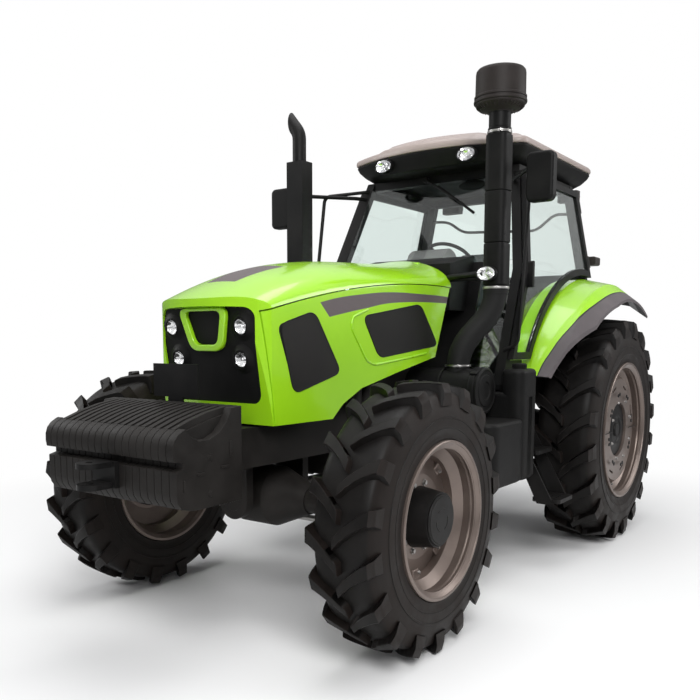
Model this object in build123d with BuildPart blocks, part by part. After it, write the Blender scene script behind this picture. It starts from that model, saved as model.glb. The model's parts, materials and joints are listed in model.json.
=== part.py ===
from build123d import *
import math
import os

os.makedirs("parts", exist_ok=True)

# Whole tractor: x runs forward, y to the left, z up from the ground
wheelbase = 2800
front_overhang = 1215
rear_overhang = 1090
rear_axle_x = (rear_overhang - wheelbase - front_overhang) / 2
front_axle_x = rear_axle_x + wheelbase

# Clearances that fitting pieces share
running_gap = 0.4
side_gap = 6
fit_gap = 0.3
fork_gap = 2

# Wheels
front_tyre_radius = 660
front_tyre_width = 345
front_rim_radius = 383
front_rim_width = 356
front_track = 1900
front_lugs = 18
front_lug_height = 38
front_lug_width = 50
rear_tyre_radius = 830
rear_tyre_width = 430
rear_rim_radius = 507
rear_rim_width = 412
rear_track = 1880
rear_lugs = 20
rear_lug_height = 44
rear_lug_width = 58
flange_height = 26
flange_thickness = 14
well_depth = 42
well_slope = 40
seat_length = 70
rim_thickness = 10
front_axle_z = front_tyre_radius
rear_axle_z = rear_tyre_radius
front_wheel_y = front_track / 2
rear_wheel_y = rear_track / 2

# Front axle and steering
kingpin_y = 745
kingpin_radius = 28
boss_radius = 55
boss_height = 190
fork_plate = 36
knuckle_radius = 125
knuckle_reach = 78
knuckle_length = 85
front_spindle_radius = 60
front_spindle_length = 140
steer_arm_length = 190
steer_arm_width = 52
tie_pin_radius = 12
tie_eye_radius = 28
tie_eye_height = 30
tie_end_radius = 14
tie_rod_radius = 17
tie_end_length = 180
beam_radius = 70
differential_radius = 165
differential_half = 110
differential_taper = 330
trunnion_radius = 55
trunnion_length = 520
hanger_radius = 100
hanger_thickness = 50

# Chassis, with the clutch face measured from the rear axle
support_width = 520
support_bottom_z = 880
support_top_z = 1080
carrier_x = 640
engine_front = -280
clutch_x = 1620
engine_width = 500
engine_length = wheelbase - clutch_x + engine_front
engine_bottom_z = 720
engine_top_z = 1480
sump_height = 180
sump_inset = 80
gearbox_width = 440
gearbox_bottom_z = 520
gearbox_top_z = 1130
gearbox_rear = -330
gearbox_step = 60
axle_housing_radius = 140
axle_neck_radius = 95
axle_collar = 40
rear_spindle_radius = 55
shaft_radius = 40

# Hood: its nose from the front axle, its back from the rear axle
hood_nose = 515
hood_back = 1455
hood_rear = wheelbase - hood_back
hood_wall = 12
hood_front_half = 375
hood_rear_half = 425
hood_bottom_z = 1092
hood_rear_crown_z = 2030
hood_rear_crease_z = 1836
hood_front_crown_z = 1700
hood_front_crease_z = 1630
hood_gap = 6
grille_half = 335
grille_bottom_z = 1190
grille_top_z = 1672
grille_thickness = 14
grille_fit = 0.5

# Cab, measured from the rear axle
cab_half = 760
cab_top_half = 615
waist_z = 1970
cab_top_z = 2690
floor_z = 1220
floor_thickness = 30
pillar_size = 64
a_pillar_foot = 1350
a_pillar_head = 835
rear_pillar = -130
roof_half = 690
roof_front = 1130
roof_rear = -430
roof_bow = 190
roof_corner = 120
visor_height = 120
roof_height = 135
glass_thickness = 8
door_thickness = 34
door_gap = 6
door_bar = 46
fender_radius = 1130
fender_thickness = 20
fender_inner = 640
fender_outer = 1000
flare_outer = 1150
flare_radius = 970


def at_rear(x):
    """A place along the tractor, measured forward from the rear axle."""
    return rear_axle_x + x


def at_front(x):
    """A place along the tractor, measured forward from the front axle."""
    return front_axle_x + x


def along_hood(share):
    """A place behind the front axle, as a share of the hood's length there."""
    return front_axle_x - share * hood_rear


def left_plane(y):
    """A side-view plane at y whose extrusions run inward."""
    return Plane.XZ.offset(-y)


def cross_plane(x):
    """A front-view plane at x whose extrusions run forward."""
    return Plane.YZ.offset(x)


def other_side(part):
    with BuildPart() as mirrored:
        add(part)
        mirror(about=Plane.XZ, mode=Mode.REPLACE)
    return mirrored.part


# Tyres: a carcass and two staggered rows of slanting lugs, round the z axis
bead_rise = 4
tread_share = 0.42
flat_share = 0.28
lug_tread_share = 0.465
shoulder_share = 0.035
crown_share = 0.012
lug_overlap = 0.03
lug_bend_share = 0.24
lug_end_rise = 0.37
lug_swell = 1.25
lug_draft = 5


def tyre(radius, width, rim_radius, rim_width, lug_count, lug_height, lug_width):
    bead = rim_width / 2 - flange_thickness
    seat = rim_radius - flange_height
    foot = rim_radius + bead_rise
    side = width / 2
    tread = tread_share * width
    carcass = radius - lug_height
    shoulder = carcass - shoulder_share * radius
    belly = (foot + shoulder) / 2
    root = (belly + shoulder) / 2
    inner = -lug_overlap * width
    bend = lug_bend_share * width
    end_rise = lug_end_rise * width
    half = lug_width / 2
    with BuildPart() as lug:
        with BuildSketch(Plane(origin=(root, 0, 0), x_dir=(0, 0, 1), z_dir=(1, 0, 0))):
            with BuildLine():
                Polyline(
                    (inner, -half), (bend, bend - lug_swell * half), (side, end_rise - lug_swell * half),
                    (side, end_rise + lug_swell * half), (bend, bend + lug_swell * half),
                    (inner, half), close=True,
                )
            make_face()
        extrude(amount=radius - root + lug_height, taper=lug_draft)
        with BuildSketch(Plane.XZ):
            with BuildLine():
                Polyline(
                    (root, inner), (root, side), (shoulder, side),
                    (radius - crown_share * radius, lug_tread_share * width), (radius, 0),
                    (radius, inner), close=True,
                )
            make_face()
        revolve(axis=Axis.Z, mode=Mode.INTERSECT)
    with BuildPart() as far_lug:
        add(lug.part)
        mirror(about=Plane.XY, mode=Mode.REPLACE)
    with BuildPart() as whole:
        with BuildSketch(Plane.XZ):
            with BuildLine():
                Polyline((foot, -bead), (seat, -bead), (seat, bead), (foot, bead))
                ThreePointArc((foot, bead), (belly, side), (shoulder, tread))
                Polyline(
                    (shoulder, tread), (carcass, flat_share * width), (carcass, -flat_share * width),
                    (shoulder, -tread)
                )
                ThreePointArc((shoulder, -tread), (belly, -side), (foot, -bead))
            make_face()
        revolve(axis=Axis.Z)
        with PolarLocations(0, lug_count):
            add(lug.part)
        with PolarLocations(0, lug_count, start_angle=180 / lug_count):
            add(far_lug.part)
    return whole.part


def wheel_plane(x, y, z):
    """A wheel's own plane: its z axis points to the tractor's left."""
    return Plane(origin=(x, y, z), x_dir=(1, 0, 0), z_dir=(0, 1, 0))


front_wheel_plane = wheel_plane(front_axle_x, front_wheel_y, front_axle_z)
rear_wheel_plane = wheel_plane(rear_axle_x, rear_wheel_y, rear_axle_z)

with BuildPart() as left_front_tyre:
    with Locations(front_wheel_plane):
        add(tyre(
            front_tyre_radius, front_tyre_width, front_rim_radius, front_rim_width,
            front_lugs, front_lug_height, front_lug_width,
        ))

with BuildPart() as left_rear_tyre:
    with Locations(rear_wheel_plane):
        add(tyre(
            rear_tyre_radius, rear_tyre_width, rear_rim_radius, rear_rim_width,
            rear_lugs, rear_lug_height, rear_lug_width,
        ))

# Rims and hubs, in the wheel's own frame with the radius first
lip_width = 16
disc_collar = 22


def rim_outline(rim_radius, rim_width):
    """The rim's section from its inner lip to its outer lip."""
    edge = rim_width / 2
    bead = edge - flange_thickness + fit_gap
    seat = rim_radius - flange_height - fit_gap
    well = seat - well_depth
    slope = bead - seat_length
    floor = slope - well_slope
    inside = seat - rim_thickness
    return [
        (rim_radius, -edge), (rim_radius, -bead), (seat, -bead), (seat, -slope), (well, -floor),
        (well, floor), (seat, slope), (seat, bead), (rim_radius, bead), (rim_radius, edge),
        (rim_radius - lip_width, edge), (inside, edge - flange_thickness), (inside, slope),
        (well - rim_thickness, floor), (well - rim_thickness, -floor),
        (inside, -slope), (inside, flange_thickness - edge), (rim_radius - lip_width, -edge),
    ]


def disc_edge(rim_radius):
    """Where a disc is welded into its rim."""
    return rim_radius - flange_height - well_depth - rim_thickness / 2


front_disc_y = 30
front_disc_thickness = 16
front_pilot_radius = 150
front_hub_radius = 132
front_cap_radius = 112
front_hub_face = 150
front_cap_face = 161
front_flange_radius = 185
front_flange_thickness = 22
front_hub_back = kingpin_y + knuckle_reach + knuckle_length + side_gap - front_wheel_y
front_bore_end = front_hub_back + front_spindle_length

with BuildPart() as left_front_wheel:
    with BuildSketch(Plane.XZ):
        with BuildLine():
            Polyline(*rim_outline(front_rim_radius, front_rim_width), close=True)
        make_face()
        with BuildLine():
            Polyline(
                (disc_edge(front_rim_radius), front_disc_y - disc_collar),
                (disc_edge(front_rim_radius), front_disc_y - disc_collar - front_disc_thickness),
                (front_flange_radius + disc_collar, front_disc_y - front_disc_thickness),
                (front_pilot_radius, front_disc_y - front_disc_thickness), (front_pilot_radius, front_disc_y),
                (front_flange_radius + disc_collar, front_disc_y), close=True,
            )
        make_face()
    revolve(axis=Axis.Z)

with BuildPart() as left_front_hub:
    with BuildSketch(Plane.XZ):
        with BuildLine():
            Polyline(
                (0, front_cap_face), (front_cap_radius, front_cap_face),
                (front_cap_radius + side_gap, front_hub_face),
                (front_hub_radius, front_hub_face), (front_pilot_radius - fit_gap, front_disc_y),
                (front_pilot_radius - fit_gap, front_disc_y - front_disc_thickness),
                (front_flange_radius, front_disc_y - front_disc_thickness),
                (front_flange_radius, front_disc_y - front_disc_thickness - front_flange_thickness),
                (front_hub_radius, front_disc_y - front_disc_thickness - front_flange_thickness),
                (front_hub_radius, front_hub_back), (front_spindle_radius + running_gap, front_hub_back),
                (front_spindle_radius + running_gap, front_bore_end), (0, front_bore_end), close=True,
            )
        make_face()
    revolve(axis=Axis.Z)

rear_disc_y = 150
rear_disc_thickness = 20
rear_disc_flat = 383
rear_disc_hole = 202
rear_dish = 60
rear_hub_radius = 150
rear_hub_back = 10
rear_hub_flange = 230
rear_spindle_end = 84
rear_hub_face = 118
disc_slot_count = 8
disc_slot_radius = 330
disc_slot_length = 90
disc_slot_width = 16
disc_split = 12

with BuildPart() as left_rear_wheel:
    with BuildSketch(Plane.XZ):
        with BuildLine():
            Polyline(*rim_outline(rear_rim_radius, rear_rim_width), close=True)
        make_face()
        with BuildLine():
            Polyline(
                (disc_edge(rear_rim_radius), rear_disc_y - rear_dish),
                (disc_edge(rear_rim_radius), rear_disc_y - rear_dish - rear_disc_thickness),
                (rear_disc_flat, rear_disc_y - rear_disc_thickness),
                (rear_hub_flange, rear_disc_y - rear_disc_thickness),
                (rear_hub_flange, rear_hub_face - disc_collar),
                (rear_hub_radius, rear_hub_face - disc_collar),
                (rear_hub_radius, rear_hub_back), (rear_spindle_radius + running_gap, rear_hub_back),
                (rear_spindle_radius + running_gap, rear_spindle_end + side_gap),
                (0, rear_spindle_end + side_gap), (0, rear_hub_face), (rear_disc_hole, rear_hub_face),
                (rear_disc_hole, rear_disc_y), (rear_disc_flat, rear_disc_y), close=True,
            )
        make_face()
    revolve(axis=Axis.Z)
    with BuildSketch(Plane.XY.offset(rear_disc_y)):
        with PolarLocations(disc_slot_radius, disc_slot_count, start_angle=180 / disc_slot_count):
            SlotOverall(disc_slot_length, disc_slot_width, rotation=90)
    extrude(amount=-rear_dish, mode=Mode.SUBTRACT)
    with BuildSketch(Plane.XY.offset(rear_disc_y)):
        Rectangle(2 * rear_disc_flat, disc_split)
    extrude(amount=-side_gap, mode=Mode.SUBTRACT)


def on_wheel(part, plane):
    """A piece made round the z axis, set on its wheel's plane."""
    with BuildPart() as placed:
        with Locations(plane):
            add(part)
    return placed.part


# Front axle, knuckles and tie rod
fork_half = boss_height / 2 + fork_plate + fork_gap
arm_top = front_axle_z - boss_height / 2 - fork_gap
arm_bottom = arm_top - fork_plate
eye_top = arm_bottom - side_gap
tie_rod_z = eye_top - tie_eye_height / 2
tie_x = front_axle_x - steer_arm_length

with BuildPart() as front_axle:
    with BuildSketch(left_plane(kingpin_y)):
        with Locations((front_axle_x, front_axle_z)):
            Circle(beam_radius)
    extrude(amount=2 * kingpin_y)
    with BuildSketch(Plane(origin=(front_axle_x, 0, front_axle_z))):
        with BuildLine():
            Polyline(
                (0, -differential_taper), (beam_radius + side_gap, -differential_taper),
                (differential_radius, -differential_half), (differential_radius, differential_half),
                (beam_radius + side_gap, differential_taper), (0, differential_taper), close=True,
            )
        make_face()
    revolve(axis=Axis((front_axle_x, 0, front_axle_z), (0, 1, 0)))
    with BuildSketch(cross_plane(front_axle_x - trunnion_length / 2)):
        with Locations((0, front_axle_z)):
            Circle(trunnion_radius)
    extrude(amount=trunnion_length)
    for side in (-1, 1):
        with BuildSketch(Plane.XY.offset(front_axle_z - boss_height / 2)):
            with Locations((front_axle_x, side * kingpin_y)):
                Circle(boss_radius)
        extrude(amount=boss_height)
        with BuildSketch(Plane.XY.offset(front_axle_z - boss_height / 2)):
            with Locations((front_axle_x, side * kingpin_y)):
                Circle(kingpin_radius + running_gap)
        extrude(amount=boss_height, mode=Mode.SUBTRACT)

with BuildPart() as left_knuckle:
    with BuildSketch(left_plane(kingpin_y + knuckle_reach + knuckle_length)):
        with Locations((front_axle_x, front_axle_z)):
            Circle(knuckle_radius)
    extrude(amount=knuckle_length)
    with BuildSketch(left_plane(kingpin_y + knuckle_reach + knuckle_length + front_spindle_length)):
        with Locations((front_axle_x, front_axle_z)):
            Circle(front_spindle_radius)
    extrude(amount=front_spindle_length)
    for base in (front_axle_z + boss_height / 2 + fork_gap, arm_bottom):
        with BuildSketch(Plane.XY.offset(base)):
            with Locations((front_axle_x, kingpin_y)):
                Circle(boss_radius)
            with Locations((front_axle_x, kingpin_y + (knuckle_reach + knuckle_length) / 2)):
                Rectangle(2 * boss_radius, knuckle_reach + knuckle_length)
        extrude(amount=fork_plate)
    with BuildSketch(Plane.XY.offset(arm_bottom)):
        with Locations((front_axle_x, kingpin_y)):
            Circle(kingpin_radius)
    extrude(amount=2 * fork_half)
    with BuildSketch(Plane.XY.offset(arm_bottom)):
        with Locations((front_axle_x - steer_arm_length / 2, kingpin_y)):
            Rectangle(steer_arm_length, steer_arm_width)
        with Locations((tie_x, kingpin_y)):
            Circle(steer_arm_width / 2)
    extrude(amount=fork_plate)
    with BuildSketch(Plane.XY.offset(eye_top - tie_eye_height)):
        with Locations((tie_x, kingpin_y)):
            Circle(tie_pin_radius)
    extrude(amount=tie_eye_height + side_gap)

with BuildPart() as tie_rod:
    with BuildSketch(left_plane(kingpin_y - tie_eye_radius / 2)):
        with Locations((tie_x, tie_rod_z)):
            Circle(tie_end_radius)
    extrude(amount=2 * kingpin_y - tie_eye_radius)
    with BuildSketch(left_plane(kingpin_y - tie_end_length)):
        with Locations((tie_x, tie_rod_z)):
            Circle(tie_rod_radius)
    extrude(amount=2 * (kingpin_y - tie_end_length))
    with BuildSketch(Plane.XY.offset(eye_top - tie_eye_height)):
        with Locations((tie_x, kingpin_y), (tie_x, -kingpin_y)):
            Circle(tie_eye_radius)
    extrude(amount=tie_eye_height)
    with BuildSketch(Plane.XY.offset(eye_top - tie_eye_height)):
        with Locations((tie_x, kingpin_y), (tie_x, -kingpin_y)):
            Circle(tie_pin_radius + running_gap)
    extrude(amount=tie_eye_height, mode=Mode.SUBTRACT)

# Chassis: front support, engine, transmission, rear axle, front drive shaft
engine_rear = engine_front - engine_length

with BuildPart() as front_support:
    with BuildSketch(Plane.XY.offset(support_bottom_z)):
        with Locations((at_front((carrier_x + engine_front) / 2), 0)):
            Rectangle(carrier_x - engine_front, support_width)
    extrude(amount=support_top_z - support_bottom_z)
    for end in (trunnion_length / 2 - hanger_thickness, -trunnion_length / 2):
        with BuildSketch(cross_plane(at_front(end))):
            with Locations((0, front_axle_z)):
                Circle(hanger_radius)
            with Locations((0, (front_axle_z + support_bottom_z) / 2)):
                Rectangle(2 * hanger_radius, support_bottom_z - front_axle_z)
            with Locations((0, front_axle_z)):
                Circle(trunnion_radius + running_gap, mode=Mode.SUBTRACT)
        extrude(amount=hanger_thickness)

with BuildPart() as engine:
    with BuildSketch(Plane.XY.offset(engine_bottom_z + sump_height)):
        with Locations((at_front((engine_front + engine_rear) / 2), 0)):
            Rectangle(engine_length, engine_width)
    extrude(amount=engine_top_z - engine_bottom_z - sump_height)
    with BuildSketch(Plane.XY.offset(engine_bottom_z)):
        with Locations((at_front((engine_front + engine_rear - sump_inset) / 2), 0)):
            Rectangle(engine_length - 2 * sump_inset, engine_width - 2 * sump_inset)
    extrude(amount=sump_height)

gearbox_neck = clutch_x - 2 * axle_collar
gearbox_waist = 700
gearbox_hump = 250

with BuildPart() as transmission:
    with BuildSketch(Plane.XZ):
        with BuildLine():
            Polyline(
                (at_rear(gearbox_rear), gearbox_bottom_z), (at_rear(gearbox_waist), gearbox_bottom_z),
                (at_rear((gearbox_waist + clutch_x) / 2), gearbox_bottom_z + gearbox_step),
                (at_rear(gearbox_neck), gearbox_bottom_z + gearbox_step),
                (at_rear(clutch_x), engine_bottom_z), (at_rear(clutch_x), gearbox_top_z - gearbox_step),
                (at_rear(gearbox_waist), gearbox_top_z - 2 * gearbox_step),
                (at_rear(gearbox_hump + gearbox_step), gearbox_top_z - gearbox_step),
                (at_rear(gearbox_hump - gearbox_step), gearbox_top_z + gearbox_step),
                (at_rear(gearbox_rear), gearbox_top_z + gearbox_step), close=True,
            )
        make_face()
    extrude(amount=gearbox_width / 2, both=True)

axle_flange = rear_wheel_y + rear_hub_back - side_gap - gearbox_width / 2
brake_start = 420

with BuildPart() as rear_axle:
    with BuildSketch(left_plane(rear_wheel_y + rear_spindle_end)):
        with Locations((rear_axle_x, rear_axle_z)):
            Circle(rear_spindle_radius)
    extrude(amount=rear_wheel_y + rear_spindle_end - gearbox_width / 2)
    with BuildSketch(Plane(origin=(rear_axle_x, gearbox_width / 2, rear_axle_z))):
        with BuildLine():
            Polyline(
                (0, 0), (axle_housing_radius + axle_collar, 0),
                (axle_housing_radius + axle_collar, axle_collar),
                (axle_housing_radius, 2 * axle_collar), (axle_neck_radius, brake_start),
                (axle_neck_radius + axle_collar, brake_start + axle_collar),
                (axle_neck_radius + axle_collar, axle_flange - axle_collar),
                (axle_neck_radius, axle_flange), (0, axle_flange), close=True,
            )
        make_face()
    revolve(axis=Axis((rear_axle_x, 0, rear_axle_z), (0, 1, 0)))
    mirror(about=Plane.XZ)

with BuildPart() as drive_shaft:
    with BuildSketch(cross_plane(at_front(-trunnion_length / 2))):
        with Locations((0, front_axle_z)):
            Circle(shaft_radius)
    extrude(until=Until.NEXT, target=transmission.part, dir=(-1, 0, 0))

# Front weights, their carrier and the tow clevis
weight_half = 445
weight_gaps = 18
weight_gap_width = 15
weight_gap_depth = 62
weight_gap_margin = 50
weight_x = 660
weight_length = 415
weight_bottom_z = 785
weight_top_z = 1215
weight_chin = 50
weight_brow = 75
ledge_z = 985
ledge_depth = 16
ledge_height = 26
scoop_height = 190
scoop_depth = 14
carrier_margin = 80
plate_width = 306
plate_height = 160
plate_bottom_z = 1235
plate_thickness = 10
clevis_gap = 70
clevis_plate = 24
clevis_radius = 58
clevis_margin = 20
clevis_pin_radius = 16
clevis_z = 920
clevis_eye = front_overhang - clevis_radius
weight_front = weight_x + weight_length
clevis_seat = weight_front - ledge_depth

with BuildPart() as front_weights:
    with BuildSketch(left_plane(weight_half)):
        with BuildLine():
            crown = ThreePointArc(
                (at_front(weight_front - weight_brow), weight_top_z - weight_brow),
                (at_front(weight_x + weight_length / 2), weight_top_z - weight_brow / 4),
                (at_front(weight_x), weight_top_z),
            )
            Polyline(
                crown @ 1, (at_front(weight_x), weight_bottom_z),
                (at_front(weight_front - 2 * weight_chin), weight_bottom_z),
                (at_front(clevis_seat), weight_bottom_z + weight_chin),
                (at_front(clevis_seat), ledge_z), (at_front(weight_front), ledge_z + ledge_height),
                (at_front(weight_front), weight_top_z - 2 * weight_brow), crown @ 0,
            )
        make_face()
    extrude(amount=2 * weight_half)
    with BuildSketch(Plane.XY.offset(weight_top_z + weight_brow)):
        with Locations((at_front(weight_x + weight_length / 2), 0)):
            with GridLocations(0, 2 * weight_half / (weight_gaps + 1), 1, weight_gaps):
                Rectangle(weight_length - 2 * weight_gap_margin, weight_gap_width)
    extrude(amount=-2 * weight_brow - weight_gap_depth / 2, mode=Mode.SUBTRACT)
    for side in (-1, 1):
        with BuildSketch(Plane.XZ.offset(side * weight_half)):
            with Locations((at_front(weight_x + weight_length / 2), ledge_z)):
                Ellipse(weight_length / 2 - weight_gap_margin, scoop_height / 2)
        extrude(amount=-side * scoop_depth, mode=Mode.SUBTRACT)

with BuildPart() as weight_carrier:
    with BuildSketch(Plane.XY.offset(support_bottom_z)):
        with Locations((at_front((carrier_x + weight_x) / 2), 0)):
            Rectangle(weight_x - carrier_x, support_width + 2 * carrier_margin)
    extrude(amount=support_top_z - support_bottom_z)
    with BuildSketch(cross_plane(at_front(carrier_x))):
        with Locations((0, (support_top_z + plate_bottom_z) / 2)):
            Rectangle(plate_width / 3, plate_bottom_z - support_top_z)
        with Locations((0, plate_bottom_z + plate_height / 2)):
            Rectangle(plate_width, plate_height)
    extrude(amount=plate_thickness)

with BuildPart() as tow_clevis:
    with BuildSketch(cross_plane(at_front(clevis_seat))):
        with Locations((0, clevis_z)):
            Rectangle(2 * (clevis_radius + clevis_margin), clevis_gap + 2 * clevis_plate)
    extrude(amount=clevis_plate)
    for base in (clevis_z - clevis_gap / 2 - clevis_plate, clevis_z + clevis_gap / 2):
        with BuildSketch(Plane.XY.offset(base)):
            with Locations((at_front(clevis_eye), 0)):
                Circle(clevis_radius)
            with Locations((at_front((clevis_eye + clevis_seat) / 2), 0)):
                Rectangle(clevis_eye - clevis_seat, 2 * clevis_radius)
            with Locations((at_front(clevis_eye), 0)):
                Circle(clevis_pin_radius, mode=Mode.SUBTRACT)
        extrude(amount=clevis_plate)

# Hood: an outer form and a smaller inner one, cut into lid and side panels
mid_share = 0.26
mid_crease_z = 1785
mid_crown_z = 1952
fore_x = 200
fore_crease_z = 1697
fore_crown_z = 1850
nose_run = 40
hood_stations = [
    (-hood_rear, hood_rear_half, hood_rear_crease_z, hood_rear_crown_z),
    (-mid_share * hood_rear, hood_rear_half - 15, mid_crease_z, mid_crown_z),
    (fore_x, hood_front_half + 12, fore_crease_z, fore_crown_z),
    (hood_nose + nose_run, hood_front_half - 10, hood_front_crease_z - 10, hood_front_crown_z - 14),
]
nose_face_top = 455
nose_face_bottom = 365
nose_corner = 170
nose_bow = 95
nose_swell = 12
nose_lip = 28
brow_drop = 6
brow_z = grille_top_z - brow_drop
seam_top = 412
seam_bottom = 352
crease_lift = 12
panel_back_share = 0.985
arch = [(0.067, hood_bottom_z), (0.134, 1166), (0.26, 1243), (0.535, 1320), (0.855, 1400)]
screen_one = [(-0.248, 1580), (-0.0625, 1647), (0.114, 1357), (-0.156, 1245)]
screen_two = [(0.266, 1617), (0.706, 1712), (0.855, 1480), (0.394, 1411)]
screen_corner = 34
screen_thickness = 6
screen_recess = 3
below_z = hood_bottom_z - 150
hood_hinge_radius = 16
hood_hinge_y = 120
hood_hinge_length = 80
hood_hinge_setback = 28
hood_hinge_drop = 34
hood_pin_radius = 8
hood_hinge_x = hood_hinge_setback - hood_rear
hood_hinge_z = hood_rear_crown_z - hood_hinge_drop
stay_size = 40
front_stay_share = 0.235
rear_stay_share = 0.82
rear_stay_z = 1436


def hood_form(inset):
    """The hood's outside, or its inside where inset is the wall."""
    front = hood_nose - inset
    corner_y = hood_front_half + nose_swell - inset
    swell_y = hood_front_half - nose_swell - inset / 2
    swell_x = at_front(front - (nose_bow + nose_corner) / 2 + nose_swell)
    with BuildPart() as form:
        for x, half, crease, crown in hood_stations:
            with BuildSketch(cross_plane(at_front(x))):
                with BuildLine():
                    Polyline(
                        (half - inset, crease), (half - inset, below_z),
                        (inset - half, below_z), (inset - half, crease),
                    )
                    EllipticalCenterArc(
                        (0, crease), half - inset, crown - crease - inset, start_angle=0, arc_size=180
                    )
                make_face()
        loft()
        with BuildSketch(Plane.XZ):
            with BuildLine():
                Polyline(
                    (at_front(front), hood_rear_crown_z), (at_front(front), hood_front_crown_z - nose_lip),
                    (at_front(nose_face_top - inset), brow_z),
                    (at_front(nose_face_bottom - inset), hood_bottom_z),
                    (at_front(nose_face_bottom - inset), below_z), (at_front(-hood_rear), below_z),
                    (at_front(-hood_rear), hood_rear_crown_z), close=True,
                )
            make_face()
        extrude(amount=hood_rear_half, both=True, mode=Mode.INTERSECT)
        with BuildSketch(Plane.XY.offset(below_z)):
            with BuildLine():
                nose = ThreePointArc(
                    (at_front(front - nose_bow), -grille_half), (at_front(front), 0),
                    (at_front(front - nose_bow), grille_half),
                )
                left = ThreePointArc(nose @ 1, (swell_x, swell_y), (at_front(front - nose_corner), corner_y))
                Polyline(
                    left @ 1, (at_front(-hood_rear), 2 * hood_rear_half),
                    (at_front(-hood_rear), -2 * hood_rear_half),
                    (at_front(front - nose_corner), -corner_y),
                )
                ThreePointArc((at_front(front - nose_corner), -corner_y), (swell_x, -swell_y), nose @ 0)
            make_face()
        extrude(amount=hood_rear_crown_z, mode=Mode.INTERSECT)
    return form.part


def side_zone(grow):
    """What lies below the crease and behind the nose seam."""
    with BuildPart() as zone:
        with BuildSketch(Plane.XZ):
            with BuildLine():
                crease = ThreePointArc(
                    (at_front(seam_top + grow), hood_front_crease_z + crease_lift + grow),
                    (along_hood(mid_share / 2), (mid_crease_z + fore_crease_z) / 2 + 2 * crease_lift + grow),
                    (at_front(-hood_rear), hood_rear_crease_z + grow),
                )
                Polyline(
                    crease @ 1, (at_front(-hood_rear), below_z), (at_front(seam_bottom + grow), below_z),
                    (at_front(seam_bottom + grow), hood_bottom_z), crease @ 0,
                )
            make_face()
        extrude(amount=hood_rear_half, both=True)
    return zone.part


def screen_zone(corners):
    """A vent's outline with round corners, through the whole hood."""
    with BuildPart() as zone:
        with BuildSketch(Plane.XZ) as outline:
            with BuildLine():
                Polyline(*[(along_hood(share), z) for share, z in corners], close=True)
            make_face()
            fillet(outline.vertices(), radius=screen_corner)
        extrude(amount=hood_rear_half, both=True)
    return zone.part


with BuildPart() as hood_shell:
    add(hood_form(0))
    add(hood_form(hood_wall), mode=Mode.SUBTRACT)

with BuildPart() as hood:
    add(hood_shell.part)
    add(side_zone(hood_gap), mode=Mode.SUBTRACT)
    with BuildSketch(Plane.XY.offset(below_z)):
        with Locations((front_axle_x, 0)):
            Rectangle(2 * hood_rear, 4 * hood_rear_half)
    extrude(amount=hood_bottom_z - below_z, mode=Mode.SUBTRACT)
    with BuildSketch(cross_plane(at_front(nose_face_bottom - 2 * grille_thickness))):
        with Locations((0, (grille_top_z + grille_bottom_z) / 2)):
            RectangleRounded(
                2 * (grille_half - grille_thickness),
                grille_top_z - grille_bottom_z - 2 * brow_drop,
                2 * nose_lip,
            )
    extrude(amount=hood_nose, mode=Mode.SUBTRACT)
    for outer in (hood_hinge_y + hood_hinge_length, -hood_hinge_y):
        with BuildSketch(left_plane(outer)):
            with Locations((at_front(hood_hinge_x), hood_hinge_z)):
                Circle(hood_hinge_radius)
        extrude(amount=hood_hinge_length)
        with BuildSketch(left_plane(outer)):
            with Locations((at_front(hood_hinge_x), hood_hinge_z)):
                Circle(hood_pin_radius + running_gap)
        extrude(amount=hood_hinge_length, mode=Mode.SUBTRACT)

stay_half = hood_rear_half - 15 - hood_wall / 2

with BuildPart() as hood_side_panels:
    add(hood_shell.part)
    add(side_zone(0), mode=Mode.INTERSECT)
    with BuildSketch(Plane.XZ):
        with BuildLine():
            Polyline(
                (at_front(seam_bottom), below_z), (at_front(seam_bottom), hood_bottom_z),
                *[(along_hood(share), z) for share, z in arch],
                (along_hood(panel_back_share), hood_rear_crease_z),
                (at_front(-hood_rear), hood_rear_crease_z), (at_front(-hood_rear), below_z), close=True,
            )
        make_face()
    extrude(amount=hood_rear_half, both=True, mode=Mode.SUBTRACT)
    for corners in (screen_one, screen_two):
        add(screen_zone(corners), mode=Mode.SUBTRACT)
    with BuildSketch(Plane.XY.offset(engine_top_z)):
        with Locations((along_hood(front_stay_share), 0)):
            Rectangle(stay_size, 2 * stay_half)
    extrude(amount=stay_size)
    for side in (-1, 1):
        with BuildSketch(Plane.XZ.offset(-side * engine_width / 2)):
            with Locations((along_hood(rear_stay_share), rear_stay_z)):
                Rectangle(stay_size, stay_size)
        extrude(amount=-side * (stay_half - engine_width / 2))

with BuildPart() as side_screens:
    for corners in (screen_one, screen_two):
        add(screen_zone(corners))
    add(hood_form(screen_recess), mode=Mode.INTERSECT)
    add(hood_form(screen_recess + screen_thickness), mode=Mode.SUBTRACT)

nose_lean = (nose_face_top - nose_face_bottom) / (brow_z - hood_bottom_z)


def nose_x(z):
    """The grille's front face at a height."""
    return at_front(nose_face_bottom - hood_wall - 2 * grille_fit + nose_lean * (z - hood_bottom_z))


with BuildPart() as grille:
    with BuildSketch(Plane.XZ):
        with BuildLine():
            Polyline(
                (nose_x(grille_top_z), grille_top_z), (nose_x(grille_bottom_z), grille_bottom_z),
                (nose_x(grille_bottom_z) - grille_thickness, grille_bottom_z),
                (nose_x(grille_top_z) - grille_thickness, grille_top_z), close=True,
            )
        make_face()
    extrude(amount=grille_half, both=True)
    add(hood_form(hood_wall + grille_fit), mode=Mode.INTERSECT)

lamp_high_z = 1575
lamp_high_y = 240
lamp_low_z = 1416
lamp_low_y = 218
lamp_radius = 46
lamp_depth = 20
frame_top_half = 167
frame_bottom_half = 100
frame_bottom_z = 1458
frame_drop = 14
frame_bar = 34
frame_depth = 26
frame_top_z = grille_top_z - frame_drop


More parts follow.
